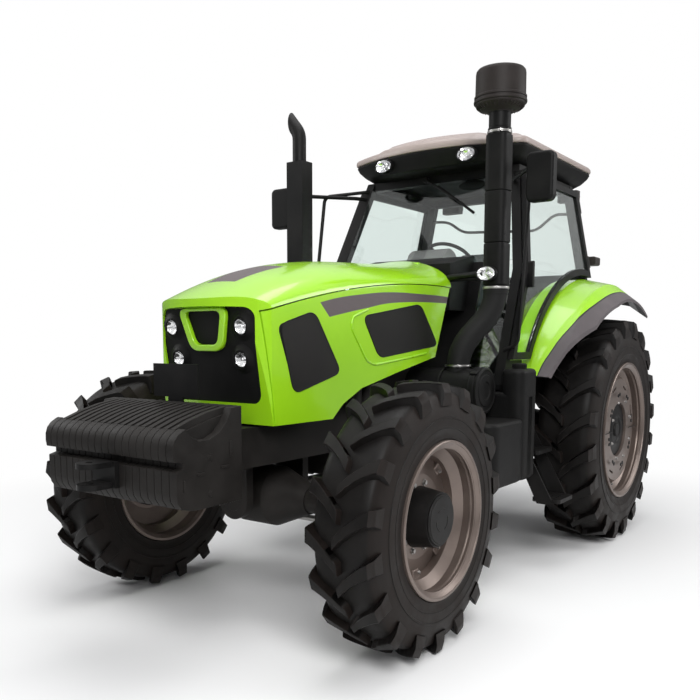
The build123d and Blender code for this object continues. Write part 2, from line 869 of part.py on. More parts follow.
def nose_plane(y, z):
    """A plane on the grille's face, looking forward."""
    return Plane(origin=(nose_x(z), y, z), x_dir=(0, 1, 0), z_dir=(1, 0, -nose_lean))


with BuildPart() as headlamps:
    for y, z in ((lamp_high_y, lamp_high_z), (lamp_low_y, lamp_low_z)):
        for side in (-1, 1):
            with BuildSketch(nose_plane(side * y, z)):
                Circle(lamp_radius)
            extrude(amount=lamp_depth)

with BuildPart() as nose_frame:
    with BuildSketch(Plane.XZ):
        with BuildLine():
            Polyline(
                (nose_x(frame_bottom_z), frame_bottom_z), (nose_x(frame_top_z), frame_top_z),
                (nose_x(frame_top_z) + frame_depth, frame_top_z),
                (nose_x(frame_bottom_z) + frame_depth, frame_bottom_z), close=True,
            )
        make_face()
    extrude(amount=frame_top_half, both=True)
    inner_top = frame_top_half - frame_bar
    inner_bottom = frame_bottom_half - frame_bar / 2 - side_gap
    with BuildSketch(cross_plane(front_axle_x)):
        with BuildLine():
            Polyline(
                (frame_top_half, frame_top_z), (frame_bottom_half, frame_bottom_z),
                (-frame_bottom_half, frame_bottom_z), (-frame_top_half, frame_top_z), close=True,
            )
        make_face()
        with BuildLine():
            Polyline(
                (inner_top, frame_top_z - frame_bar / 2), (inner_bottom, frame_bottom_z + frame_bar),
                (-inner_bottom, frame_bottom_z + frame_bar),
                (-inner_top, frame_top_z - frame_bar / 2), close=True,
            )
        make_face(mode=Mode.SUBTRACT)
    extrude(amount=hood_nose, mode=Mode.INTERSECT)

# Exhaust on the right, from the engine's side; intake on the left
exhaust_x = at_front(engine_rear + 125)
exhaust_y = -590
exhaust_foot_z = 1300
pipe_radius = 46
pipe_wall = 5
pipe_bend = 110
pipe_turn_z = 2890
pipe_end_z = 3080
pipe_reach = 160
pipe_cut = 62
muffler_radius = 50
guard_width = 128
guard_depth = 110
guard_wall = 8
guard_bottom_z = 1960
guard_top_z = 2700

with BuildPart() as exhaust:
    with BuildLine():
        FilletPolyline(
            (exhaust_x, -engine_width / 2, exhaust_foot_z), (exhaust_x, exhaust_y, exhaust_foot_z),
            (exhaust_x, exhaust_y, pipe_turn_z), (exhaust_x, exhaust_y - pipe_reach, pipe_end_z),
            radius=pipe_bend,
        )
    with BuildSketch(Plane.XZ.offset(engine_width / 2)):
        with Locations((exhaust_x, exhaust_foot_z)):
            Circle(pipe_radius)
            Circle(pipe_radius - pipe_wall, mode=Mode.SUBTRACT)
    sweep()
    with BuildSketch(Plane.XZ.offset(pipe_cut - exhaust_y)):
        with Locations((exhaust_x, pipe_end_z)):
            Rectangle(4 * pipe_radius, 8 * pipe_radius)
    extrude(amount=2 * pipe_reach, mode=Mode.SUBTRACT)
    with BuildSketch(Plane.XY.offset(guard_bottom_z)):
        with Locations((exhaust_x, exhaust_y)):
            Circle(muffler_radius)
    extrude(amount=guard_top_z - guard_bottom_z - 2 * guard_wall)
    with BuildSketch(Plane.XY.offset(guard_bottom_z)):
        with Locations((exhaust_x + guard_depth / 2 - guard_wall, exhaust_y)):
            Rectangle(2 * guard_wall, guard_width)
        with Locations((exhaust_x, exhaust_y + guard_width / 2), (exhaust_x, exhaust_y - guard_width / 2)):
            Rectangle(guard_depth, guard_wall)
        with Locations((exhaust_x, exhaust_y)):
            Rectangle(guard_wall, guard_width)
    extrude(amount=guard_top_z - guard_bottom_z)

stack_x = 1475
stack_y = 745
stack_size = 164
stack_corner = 56
stack_seam = 3
stack_bottom_z = 1840
stack_joints = [2096, 2404]
stack_top_z = 2740
neck_radius = 72
clamp_width = 18
bowl_foot_z = 2872
bowl_rim_z = 2905
bowl_band_z = 2950
bowl_shoulder_z = 3092
bowl_top_z = 3120
bowl_radius = 152
bowl_band = 9
bowl_foot_radius = 105
bowl_crown_radius = 120

with BuildPart() as intake_stack:
    for low, high in zip([stack_bottom_z, *stack_joints], [*stack_joints, stack_top_z]):
        with BuildSketch(Plane.XY.offset(low)):
            with Locations((at_rear(stack_x), stack_y)):
                RectangleRounded(stack_size, stack_size, stack_corner)
        extrude(amount=high - low - stack_seam)
        with BuildSketch(Plane.XY.offset(high - stack_seam)):
            with Locations((at_rear(stack_x), stack_y)):
                RectangleRounded(stack_size - 2 * stack_seam, stack_size - 2 * stack_seam, stack_corner)
        extrude(amount=stack_seam)
    with BuildSketch(Plane(origin=(at_rear(stack_x), stack_y, 0), x_dir=(1, 0, 0), z_dir=(0, -1, 0))):
        with BuildLine():
            Polyline(
                (0, stack_top_z), (neck_radius + stack_seam, stack_top_z),
                (neck_radius + stack_seam, stack_top_z + clamp_width), (neck_radius, stack_top_z + clamp_width),
                (neck_radius, bowl_foot_z), (bowl_foot_radius, bowl_foot_z), (bowl_radius, bowl_rim_z),
                (bowl_radius + bowl_band, bowl_rim_z), (bowl_radius + bowl_band, bowl_band_z),
                (bowl_radius, bowl_band_z), (bowl_radius, bowl_shoulder_z), (bowl_crown_radius, bowl_top_z),
                (0, bowl_top_z), close=True,
            )
        make_face()
    revolve(axis=Axis((at_rear(stack_x), stack_y, 0), (0, 0, 1)))

cleaner_x = at_front(engine_rear - 14)
cleaner_z = 1196
cleaner_radius = 144
cleaner_outer = 750
cap_length = 60
cap_step = 10
cap_dish_radius = 60
cap_dish_depth = 12

with BuildPart() as air_cleaner:
    with BuildSketch(Plane(origin=(cleaner_x, 0, cleaner_z))):
        with BuildLine():
            Polyline(
                (0, engine_width / 2), (cleaner_radius - cap_step, engine_width / 2),
                (cleaner_radius - cap_step, cleaner_outer - cap_length),
                (cleaner_radius, cleaner_outer - cap_length),
                (cleaner_radius, cleaner_outer - 2 * cap_step), (cleaner_radius - 2 * cap_step, cleaner_outer),
                (cap_dish_radius + cap_step, cleaner_outer), (cap_dish_radius, cleaner_outer - cap_dish_depth),
                (0, cleaner_outer - cap_dish_depth), close=True,
            )
        make_face()
    revolve(axis=Axis((cleaner_x, 0, cleaner_z), (0, 1, 0)))

hose_radius = 72
hose_y = 560
hose_clamp = 5
hose_clamp_length = 24
hose_foot_z = cleaner_z + cleaner_radius - 3 * cap_step

with BuildPart() as intake_hose:
    with BuildLine():
        Spline(
            (cleaner_x, hose_y, hose_foot_z), (at_rear(stack_x), stack_y, stack_bottom_z),
            tangents=((0, 0, 1), (0, 0, 1)),
        )
    with BuildSketch(Plane.XY.offset(hose_foot_z)):
        with Locations((cleaner_x, hose_y)):
            Circle(hose_radius)
    sweep()
    with BuildSketch(Plane.XY.offset(stack_bottom_z - 2 * hose_clamp_length)):
        with Locations((at_rear(stack_x), stack_y)):
            Circle(hose_radius + hose_clamp)
    extrude(amount=hose_clamp_length)
    add(air_cleaner.part, mode=Mode.SUBTRACT)

# Cab frame, floor and glass


def a_pillar_x(z):
    return at_rear(a_pillar_foot + (a_pillar_head - a_pillar_foot) * (z - floor_z) / (cab_top_z - floor_z))


def cab_side(z):
    """The cab's outside half width at a height above the waist."""
    return cab_half + (cab_top_half - cab_half) * max(0, z - waist_z) / (cab_top_z - waist_z)


sill_drop = 8
sill_z = waist_z - sill_drop
sill_height = 48
rail_height = 60
windscreen_z = 2030
windscreen_bar = 30
rear_door_edge = rear_pillar - 8
hinge_radius = 18
hinge_overlap = 4
hinge_x = rear_door_edge - hinge_radius + hinge_overlap
hinge_length = 90
hinge_bases = (90, 520)
hinge_pin_radius = 8
hinge_eye_radius = 12
hinge_eye_height = 26
lean = math.atan2(cab_half - cab_top_half, cab_top_z - waist_z)
hinge_foot = (at_rear(hinge_x), cab_half + door_gap + door_thickness / 2, waist_z)
hinge_plane = Plane(origin=hinge_foot, x_dir=(1, 0, 0), z_dir=(0, -math.sin(lean), math.cos(lean)))
hinge_stand = door_gap + door_thickness / 2 + hinge_overlap
rail_radius = 13
rail_bend = 60
rail_head_z = 2630
rail_high = (1150, 820, 2580)
rail_low = (1310, 830, 1480)
rail_foot_z = 1440
rail_head = (a_pillar_x(rail_head_z) + pillar_size / 2, cab_side(rail_head_z) - pillar_size / 2, rail_head_z)
rail_foot = (a_pillar_x(rail_foot_z) + pillar_size / 2, cab_half - pillar_size / 2, rail_foot_z)

with BuildPart() as grab_rail:
    with BuildLine():
        FilletPolyline(
            rail_head, (at_rear(rail_high[0]), rail_high[1], rail_high[2]),
            (at_rear(rail_low[0]), rail_low[1], rail_low[2]), rail_foot, radius=rail_bend,
        )
    with BuildSketch(cross_plane(rail_head[0])):
        with Locations((rail_head[1], rail_head[2])):
            Circle(rail_radius)
    sweep()

with BuildPart() as cab_frame:
    for z in (floor_z, waist_z, cab_top_z):
        with BuildSketch(Plane.XY.offset(z)):
            with Locations((a_pillar_x(z), cab_side(z) - pillar_size / 2)):
                Rectangle(pillar_size, pillar_size)
    loft(ruled=True)
    for z in (sill_z, waist_z, cab_top_z):
        with BuildSketch(Plane.XY.offset(z)):
            with Locations((at_rear(rear_pillar), cab_side(z) - pillar_size / 2)):
                Rectangle(pillar_size, pillar_size)
    loft(ruled=True)
    with BuildSketch(Plane.XY.offset(cab_top_z - rail_height)):
        with Locations((at_rear((a_pillar_head + rear_pillar) / 2), cab_top_half - pillar_size / 2)):
            Rectangle(a_pillar_head - rear_pillar, pillar_size)
    extrude(amount=rail_height)
    for base in hinge_bases:
        with BuildSketch(hinge_plane.offset(base - side_gap - hinge_eye_height)):
            Circle(hinge_eye_radius)
            with Locations((0, -hinge_stand / 2)):
                Rectangle(2 * hinge_eye_radius, hinge_stand)
        extrude(amount=hinge_eye_height)
        with BuildSketch(hinge_plane.offset(base - side_gap)):
            Circle(hinge_pin_radius)
        extrude(amount=hinge_length + side_gap)
    add(grab_rail.part)
    mirror(about=Plane.XZ)
    with BuildSketch(Plane.XY.offset(cab_top_z - rail_height)):
        with Locations((at_rear(a_pillar_head), 0), (at_rear(rear_pillar), 0)):
            Rectangle(pillar_size, 2 * cab_top_half - pillar_size)
    extrude(amount=rail_height)
    with BuildSketch(Plane.XY.offset(sill_z)):
        with Locations((at_rear(rear_pillar), 0)):
            Rectangle(pillar_size, 2 * cab_half - pillar_size)
    extrude(amount=sill_height)

firewall_half = 480
wall = 30
floor_front = 1075
door_bottom_z = 1380
skirt_top_z = door_bottom_z - side_gap
floor_nose = a_pillar_foot + pillar_size / 2

with BuildPart() as cab_floor:
    with BuildSketch(Plane.XY.offset(floor_z - floor_thickness)):
        with Locations((at_rear((floor_front + floor_nose) / 2), 0)):
            Rectangle(floor_nose - floor_front, 2 * cab_half)
        with Locations((at_rear((floor_front + rear_pillar - wall / 2) / 2), 0)):
            Rectangle(floor_front - rear_pillar + wall / 2, 2 * fender_inner)
    extrude(amount=floor_thickness)
    with BuildSketch(Plane.XZ):
        with BuildLine():
            Polyline(
                (a_pillar_x(floor_z) + pillar_size / 2, floor_z),
                (a_pillar_x(windscreen_z) + pillar_size / 2, windscreen_z),
                (a_pillar_x(windscreen_z) + pillar_size / 2 - wall, windscreen_z),
                (a_pillar_x(floor_z) + pillar_size / 2 - wall, floor_z), close=True,
            )
        make_face()
    extrude(amount=firewall_half, both=True)
    with BuildSketch(Plane.XY.offset(floor_z)):
        with Locations((at_rear(rear_pillar), 0)):
            Rectangle(wall, 2 * fender_inner)
    extrude(amount=sill_z - floor_z)
    for side in (-1, 1):
        with BuildSketch(Plane.XZ.offset(-side * cab_half)):
            with BuildLine():
                Polyline(
                    (at_rear(floor_front), floor_z), (a_pillar_x(floor_z) - pillar_size / 2, floor_z),
                    (a_pillar_x(skirt_top_z) - pillar_size / 2, skirt_top_z),
                    (at_rear(floor_front), skirt_top_z),
                    close=True,
                )
            make_face()
        extrude(amount=side * wall)

with BuildPart() as windscreen:
    with BuildSketch(Plane.XZ):
        with BuildLine():
            Polyline(
                (a_pillar_x(floor_z) + pillar_size / 2, floor_z),
                (a_pillar_x(cab_top_z) + pillar_size / 2, cab_top_z),
                (a_pillar_x(cab_top_z) + pillar_size / 2 - glass_thickness, cab_top_z),
                (a_pillar_x(floor_z) + pillar_size / 2 - glass_thickness, floor_z), close=True,
            )
        make_face()
    extrude(amount=cab_half, both=True)
    low_pane_z = windscreen_z - windscreen_bar
    with BuildSketch(cross_plane(rear_axle_x)):
        with BuildLine():
            Polyline(
                (cab_side(windscreen_z) - pillar_size, windscreen_z),
                (cab_side(cab_top_z - rail_height) - pillar_size, cab_top_z - rail_height),
                (pillar_size - cab_side(cab_top_z - rail_height), cab_top_z - rail_height),
                (pillar_size - cab_side(windscreen_z), windscreen_z), close=True,
            )
        make_face()
        for side in (-1, 1):
            with BuildLine():
                Polyline(
                    (side * firewall_half, floor_z), (side * firewall_half, low_pane_z),
                    (side * (cab_side(low_pane_z) - pillar_size), low_pane_z),
                    (side * (cab_half - pillar_size), waist_z),
                    (side * (cab_half - pillar_size), floor_z), close=True,
                )
            make_face()
    extrude(amount=2 * wheelbase, mode=Mode.INTERSECT)

with BuildPart() as rear_window:
    with BuildSketch(cross_plane(at_rear(rear_pillar) - glass_thickness / 2)):
        with BuildLine():
            Polyline(
                (cab_side(sill_z + sill_height) - pillar_size, sill_z + sill_height),
                (cab_side(cab_top_z - rail_height) - pillar_size, cab_top_z - rail_height),
                (pillar_size - cab_side(cab_top_z - rail_height), cab_top_z - rail_height),
                (pillar_size - cab_side(sill_z + sill_height), sill_z + sill_height), close=True,
            )
        make_face()
    extrude(amount=glass_thickness)

# Doors
door_top_gap = 45
door_top_z = cab_top_z - door_top_gap
door_front = 20
door_arc_gap = 30
door_arc = fender_radius + door_arc_gap
handle_x = 1010
handle_z = 1930
handle_length = 170
handle_width = 30
handle_stand = 34


def arc_height(radius, x):
    return rear_axle_z + math.sqrt(radius**2 - x**2)


def door_sheet(inset, inner, thickness):
    """A sheet in the door's curve, with the door's outline drawn in by inset."""
    low = door_bottom_z + inset
    high = door_top_z - inset
    radius = door_arc + inset
    rear = rear_door_edge + inset
    foot = math.sqrt(radius**2 - (low - rear_axle_z) ** 2)
    middle = (foot + rear) / 2
    with BuildPart() as sheet:
        with BuildSketch(cross_plane(at_rear(-wheelbase))):
            with BuildLine():
                Polyline(
                    (cab_half + inner, floor_z), (cab_half + inner, waist_z), (cab_top_half + inner, cab_top_z),
                    (cab_top_half + inner + thickness, cab_top_z), (cab_half + inner + thickness, waist_z),
                    (cab_half + inner + thickness, floor_z), close=True,
                )
            make_face()
        extrude(amount=3 * wheelbase)
        with BuildSketch(Plane.XZ):
            with BuildLine():
                ThreePointArc(
                    (at_rear(foot), low), (at_rear(middle), arc_height(radius, middle)),
                    (at_rear(rear), arc_height(radius, rear)),
                )
                Polyline(
                    (at_rear(rear), arc_height(radius, rear)), (at_rear(rear), high),
                    (a_pillar_x(high) + door_front - inset, high), (a_pillar_x(low) + door_front - inset, low),
                    (at_rear(foot), low),
                )
            make_face()
        extrude(amount=2 * cab_half, both=True, mode=Mode.INTERSECT)
    return sheet.part


with BuildPart() as left_door:
    add(door_sheet(0, door_gap, door_thickness))
    add(door_sheet(door_bar, 0, 2 * door_thickness), mode=Mode.SUBTRACT)
    for base in hinge_bases:
        with BuildSketch(hinge_plane.offset(base)):
            Circle(hinge_radius)
        extrude(amount=hinge_length)
        with BuildSketch(hinge_plane.offset(base)):
            Circle(hinge_pin_radius + running_gap)
        extrude(amount=hinge_length, mode=Mode.SUBTRACT)
    with BuildSketch(left_plane(cab_half + door_gap + door_thickness + handle_stand)):
        with Locations((a_pillar_x(handle_z) + door_front - door_bar / 2, handle_z)):
            RectangleRounded(handle_width, handle_length, handle_width / 2 - 1)
    extrude(amount=handle_stand)

with BuildPart() as left_door_glass:
    add(door_sheet(door_bar, door_gap + (door_thickness - glass_thickness) / 2, glass_thickness))

# Roof
roof_lamp_y = 329
roof_lamp_radius = 50
roof_lamp_depth = 40
roof_lamp_z = cab_top_z + visor_height / 2
roof_lamp_x = at_rear(roof_front - roof_bow / 4)
roof_edge = 10
roof_tier = 70
roof_tier_inset = 95
roof_round = 42


def roof_plan(z, inset):
    """The roof's outline: straight sides, a bowed front and round corners."""
    half = roof_half - inset
    bow_end = at_rear(roof_front - roof_bow)
    with BuildSketch(Plane.XY.offset(z)) as plan:
        with BuildLine():
            bow = ThreePointArc((bow_end, half), (at_rear(roof_front - inset), 0), (bow_end, -half))
            Polyline(bow @ 1, (at_rear(roof_rear + inset), -half), (at_rear(roof_rear + inset), half), bow @ 0)
        make_face()
        fillet(plan.vertices(), radius=roof_corner)
    return plan.sketch


with BuildPart() as roof_visor:
    extrude(roof_plan(cab_top_z, 0), amount=visor_height)
    with BuildSketch(cross_plane(roof_lamp_x - roof_lamp_depth)):
        with Locations((roof_lamp_y, roof_lamp_z), (-roof_lamp_y, roof_lamp_z)):
            Circle(roof_lamp_radius + fit_gap)
    extrude(amount=roof_bow, mode=Mode.SUBTRACT)

with BuildPart() as cab_roof:
    extrude(roof_plan(cab_top_z + visor_height, roof_edge), amount=roof_tier)
    fillet(cab_roof.faces().sort_by(Axis.Z)[-1].edges(), radius=roof_round)
    extrude(roof_plan(cab_top_z + visor_height + roof_tier, roof_tier_inset), amount=roof_height - roof_tier)
    fillet(cab_roof.faces().sort_by(Axis.Z)[-1].edges(), radius=roof_round)

# Inside the cab
seat_x = 330
seat_z = 1640
seat_width = 500
cushion_length = 480
cushion_height = 110
back_height = 510
back_thickness = 120
back_lean = 110
seat_round = 36
pedestal_length = 340
pedestal_width = 320
wheel_x = 690
wheel_z = 2060
wheel_radius = 200
grip_radius = 16
boss_wheel_radius = 55
spoke_width = 36
spoke_height = 24
column_radius = 26
column_length = 220
console_x = 900
console_half = 170
console_lip_z = 1900
console_top_z = 2060

with BuildPart() as seat:
    with BuildSketch(Plane.XY.offset(seat_z)):
        with Locations((at_rear(seat_x), 0)):
            RectangleRounded(cushion_length, seat_width, 2 * seat_round)
    extrude(amount=cushion_height)
    fillet(seat.faces().sort_by(Axis.Z)[-1].edges(), radius=seat_round)
    back_foot = seat_x - cushion_length / 2 + back_thickness
    with BuildSketch(left_plane(seat_width / 2 - seat_round)):
        with BuildLine():
            Polyline(
                (at_rear(back_foot), seat_z + cushion_height / 2),
                (at_rear(back_foot - back_thickness), seat_z + cushion_height / 2),
                (at_rear(back_foot - back_thickness - back_lean), seat_z + cushion_height + back_height),
                (at_rear(back_foot - back_lean), seat_z + cushion_height + back_height), close=True,
            )
        make_face()
    extrude(amount=seat_width - 2 * seat_round)
    fillet(seat.edges().filter_by(Axis.Y).sort_by(Axis.Z)[-2:], radius=seat_round)
    with BuildSketch(Plane.XY.offset(floor_z)):
        with Locations((at_rear(seat_x), 0)):
            RectangleRounded(pedestal_length, pedestal_width, seat_round)
    extrude(amount=seat_z - floor_z)

with BuildPart() as console:
    with BuildSketch(Plane.XZ):
        with BuildLine():
            Polyline(
                (at_rear(console_x - 60), floor_z), (at_rear(console_x - 150), console_lip_z),
                (at_rear(console_x - 110), console_top_z - 30), (at_rear(console_x + 60), console_top_z),
                (at_rear(console_x + 130), console_top_z - 80), (at_rear(console_x + 160), floor_z), close=True,
            )
        make_face()
    extrude(amount=console_half, both=True)

column_plane = Plane(origin=(at_rear(wheel_x), 0, wheel_z), x_dir=(0, 1, 0), z_dir=(-0.5, 0, 0.866))

with BuildPart() as steering_wheel:
    with BuildSketch(Plane(column_plane.origin, x_dir=column_plane.x_dir, z_dir=column_plane.y_dir)):
        with Locations((wheel_radius, 0)):
            Circle(grip_radius)
    revolve(axis=Axis(column_plane.origin, column_plane.z_dir))
    with BuildSketch(column_plane.offset(-spoke_height / 2)):
        Circle(boss_wheel_radius)
        Rectangle(2 * wheel_radius - grip_radius, spoke_width)
    extrude(amount=spoke_height)
    with BuildSketch(column_plane):
        Circle(column_radius)
    extrude(amount=-column_length)
    add(console.part, mode=Mode.SUBTRACT)

# Fenders and flares
arc_start = 23
arc_length = 95
fender_root = 520
crown_y = 800
crown_drop = 45
seal_step = 4
start = math.radians(arc_start)
fender_plane = Plane(
    origin=(rear_axle_x, 0, rear_axle_z), x_dir=(math.cos(start), 0, math.sin(start)),
    z_dir=(-math.sin(start), 0, math.cos(start)),
)
fender_taper = [(1200, 220), (1040, 185), (900, 120), (640, 32), (300, 0), (-900, 0)]
flare_taper = [(1200, 320), (1040, 245), (900, 160), (640, 45), (300, 6), (-900, 0)]


def fender_skin():
    with BuildPart() as skin:
        with BuildSketch(fender_plane):
            with BuildLine():
                Polyline(
                    (fender_root, fender_inner), (fender_radius, fender_inner), (fender_radius, crown_y),
                    (fender_radius - crown_drop, fender_outer), (flare_radius, flare_outer),
                    (flare_radius - fender_thickness, flare_outer),
                    (fender_radius - crown_drop - fender_thickness, fender_outer - side_gap),
                    (fender_radius - fender_thickness, crown_y - seal_step),
                    (fender_radius - fender_thickness, fender_inner + fender_thickness),
                    (fender_root, fender_inner + fender_thickness), close=True,
                )
            make_face()
        revolve(axis=Axis((rear_axle_x, 0, rear_axle_z), (0, -1, 0)), revolution_arc=arc_length)
    return skin.part


def plan_zone(outer, taper):
    """What lies inside an edge that draws in towards the front."""
    with BuildPart() as zone:
        with BuildSketch(Plane.XY.offset(rear_axle_z)):
            with BuildLine():
                Polyline(
                    *[(at_rear(x), outer - inset) for x, inset in taper],
                    (at_rear(taper[-1][0]), 0), (at_rear(taper[0][0]), 0), close=True,
                )
            make_face()
        extrude(amount=2 * fender_radius, both=True)
    return zone.part


with BuildPart() as fenders:
    add(fender_skin())
    add(plan_zone(fender_outer, fender_taper), mode=Mode.INTERSECT)
    mirror(about=Plane.XZ)

with BuildPart() as fender_flares:
    add(fender_skin())
    add(plan_zone(flare_outer, flare_taper), mode=Mode.INTERSECT)
    add(plan_zone(fender_outer, fender_taper), mode=Mode.SUBTRACT)
    mirror(about=Plane.XZ)

# Fuel tanks: a low front lobe, a taller rear one, and a column with the filler at the outside
tank_outer = 930
tank_inner = 520
tank_bottom_z = 620
tank_tall_z = 1180
tank_low_z = 1020
tank_rear = 1190
tank_step = 1450
tank_front = 1850
tank_corner = 80
column_inner = cab_half + side_gap
column_top_z = 1326
filler_radius = 44
filler_top_z = 1362
bracket_height = 50

with BuildPart() as fuel_tanks:
    with BuildSketch(Plane.XY.offset(tank_bottom_z)):
        with Locations((at_rear((tank_rear + tank_step) / 2), (tank_outer + tank_inner) / 2)):
            RectangleRounded(tank_step - tank_rear, tank_outer - tank_inner, tank_corner)
    extrude(amount=tank_tall_z - tank_bottom_z)
    with BuildSketch(Plane.XY.offset(tank_bottom_z)):
        with Locations((at_rear((tank_step + tank_front - tank_corner) / 2), (tank_outer + tank_inner) / 2)):
            RectangleRounded(tank_front - tank_step + tank_corner, tank_outer - tank_inner, tank_corner)
    extrude(amount=tank_low_z - tank_bottom_z)
    with BuildSketch(Plane.XY.offset(tank_bottom_z)):
        with Locations((at_rear((tank_rear + tank_step) / 2), (tank_outer + column_inner) / 2)):
            RectangleRounded(tank_step - tank_rear, tank_outer - column_inner, tank_corner)
    extrude(amount=column_top_z - tank_bottom_z)
    with BuildSketch(Plane.XY.offset(column_top_z)):
        with Locations((at_rear((tank_rear + tank_step) / 2), (tank_outer + column_inner) / 2)):
            Circle(filler_radius)
    extrude(amount=filler_top_z - column_top_z)
    with BuildSketch(left_plane(tank_inner + tank_corner)):
        with Locations((at_rear((tank_rear + tank_step) / 2), tank_bottom_z + 2 * bracket_height)):
            Rectangle(2 * bracket_height, bracket_height)
    extrude(amount=tank_inner + tank_corner - gearbox_width / 2)
    mirror(about=Plane.XZ)

# Steps under the doors
step_rear = 900
step_width = 270
step_plate = 12
step_top_z = floor_z - floor_thickness
step_foot_z = 440
step_head_y = 560
step_foot_y = 1045
stringer_head = 70
stringer_foot = 115
tread_depth = 190
tread_thickness = 26
tread_heights = [(450, 985), (760, 835), (1040, 690)]
grip_hole = 16
grip_pitch = 40

with BuildPart() as steps:
    for x in (step_rear, step_rear + step_width - step_plate):
        with BuildSketch(cross_plane(at_rear(x))):
            with BuildLine():
                Polyline(
                    (step_head_y, step_top_z), (step_head_y + stringer_head, step_top_z),
                    (step_foot_y, step_foot_z),
                    (step_foot_y - stringer_foot, step_foot_z), close=True,
                )
            make_face()
        extrude(amount=step_plate)
    for z, y in tread_heights:
        with BuildSketch(Plane.XY.offset(z)):
            with Locations((at_rear(step_rear + step_width / 2), y)):
                RectangleRounded(step_width - step_plate, tread_depth, tread_thickness)
                with GridLocations(grip_pitch, grip_pitch, 5, 3):
                    Circle(grip_hole / 2, mode=Mode.SUBTRACT)
        extrude(amount=tread_thickness)
    mirror(about=Plane.XZ)

# Mirrors
mirror_x = 1440
mirror_y = 1000
mirror_z = 2470
mirror_width = 170
mirror_height = 290
mirror_depth = 60
mirror_round = 18
arm_z = 2570
arm_radius = 14
arm_run = 60
arm_bend = 40

with BuildPart() as mirrors:
    with BuildSketch(cross_plane(at_rear(mirror_x - mirror_depth / 2))):
        with Locations((mirror_y, mirror_z)):
            RectangleRounded(mirror_width, mirror_height, 2 * mirror_round)
    extrude(amount=mirror_depth)
    fillet(mirrors.faces().sort_by(Axis.X)[-1].edges(), radius=mirror_round)
    with BuildLine():
        FilletPolyline(
            (a_pillar_x(arm_z) + pillar_size / 2, cab_side(arm_z) - pillar_size / 2, arm_z),
            (a_pillar_x(arm_z) + pillar_size + arm_run, cab_side(arm_z), arm_z),
            (at_rear(mirror_x), mirror_y, arm_z), (at_rear(mirror_x), mirror_y, mirror_z), radius=arm_bend,
        )
    with BuildSketch(cross_plane(a_pillar_x(arm_z) + pillar_size / 2)):
        with Locations((cab_side(arm_z) - pillar_size / 2, arm_z)):
            Circle(arm_radius)
    sweep()
    add(cab_frame.part, mode=Mode.SUBTRACT)
    mirror(about=Plane.XZ)

# Cowl behind the hood, with the hood's hinge pins and the arm of each turn lamp
cowl_half = 400
cowl_clearance = 28
cowl_front = hood_rear + cowl_clearance
cowl_bottom_z = 1700
cowl_nose_z = 2000
cowl_top_z = 2075
bracket_thickness = 14
bracket_gap = 20
bracket_inner = hood_hinge_y - bracket_gap - bracket_thickness
bracket_eye = 10
bracket_drop = 52
bracket_bar = 28
bracket_z = hood_hinge_z - bracket_drop + bracket_bar / 2
lamp_arm_z = 1900
lamp_arm_size = 34
lamp_arm_end = stack_y - stack_size / 2
turn_lamp_y = 600
turn_lamp_long = 52
turn_lamp_short = 34
turn_lamp_depth = 30

with BuildPart() as cowl:
    with BuildSketch(Plane.XZ):
        with BuildLine():
            Polyline(
                (a_pillar_x(cowl_bottom_z) + pillar_size / 2, cowl_bottom_z),
                (at_front(-cowl_front), cowl_bottom_z),
                (at_front(-cowl_front), cowl_nose_z),
                (a_pillar_x(cowl_top_z) + pillar_size / 2, cowl_top_z), close=True,
            )
        make_face()
    extrude(amount=cowl_half, both=True)
    for side in (-1, 1):
        with BuildSketch(Plane.XZ.offset(-side * bracket_inner)):
            with Locations((at_front(hood_hinge_x), hood_hinge_z)):
                Circle(bracket_eye)
            with Locations((at_front(hood_hinge_x), hood_hinge_z - bracket_drop / 2)):
                Rectangle(2 * bracket_eye, bracket_drop)
            with Locations((at_front((hood_hinge_x - cowl_front) / 2), bracket_z)):
                Rectangle(cowl_front + hood_hinge_x, bracket_bar)
        extrude(amount=-side * bracket_thickness)
        with BuildSketch(Plane.XZ.offset(-side * bracket_inner)):
            with Locations((at_front(hood_hinge_x), hood_hinge_z)):
                Circle(hood_pin_radius)
        extrude(amount=-side * (bracket_thickness + bracket_gap + hood_hinge_length))
        with BuildSketch(Plane.XZ.offset(-side * cowl_half)):
            with Locations((at_front(-cowl_front - lamp_arm_size / 2), lamp_arm_z)):
                Rectangle(lamp_arm_size, lamp_arm_size)
        extrude(amount=-side * (lamp_arm_end - cowl_half))

with BuildPart() as work_lamps:
    with BuildSketch(cross_plane(roof_lamp_x - roof_lamp_depth)):
        with Locations((roof_lamp_y, roof_lamp_z), (-roof_lamp_y, roof_lamp_z)):
            Circle(roof_lamp_radius)
    extrude(amount=roof_lamp_depth + side_gap)
    with BuildSketch(cross_plane(at_front(-cowl_front))):
        with Locations((turn_lamp_y, lamp_arm_z), (-turn_lamp_y, lamp_arm_z)):
            Ellipse(turn_lamp_long, turn_lamp_short)
    extrude(amount=turn_lamp_depth)

# Lamp housings on the rear pillars and under the back of the roof
pillar_back = at_rear(rear_pillar) - pillar_size / 2
pillar_lamp_z = 2118
pillar_lamp_height = 66
pillar_lamp_length = 112
pillar_lamp_arm = 38
pillar_lamp_arm_width = 64
pillar_lamp_inner = 660
pillar_lamp_width = 145
roof_box_y = 520
roof_box_width = 170
roof_box_height = 84
roof_box_length = 90

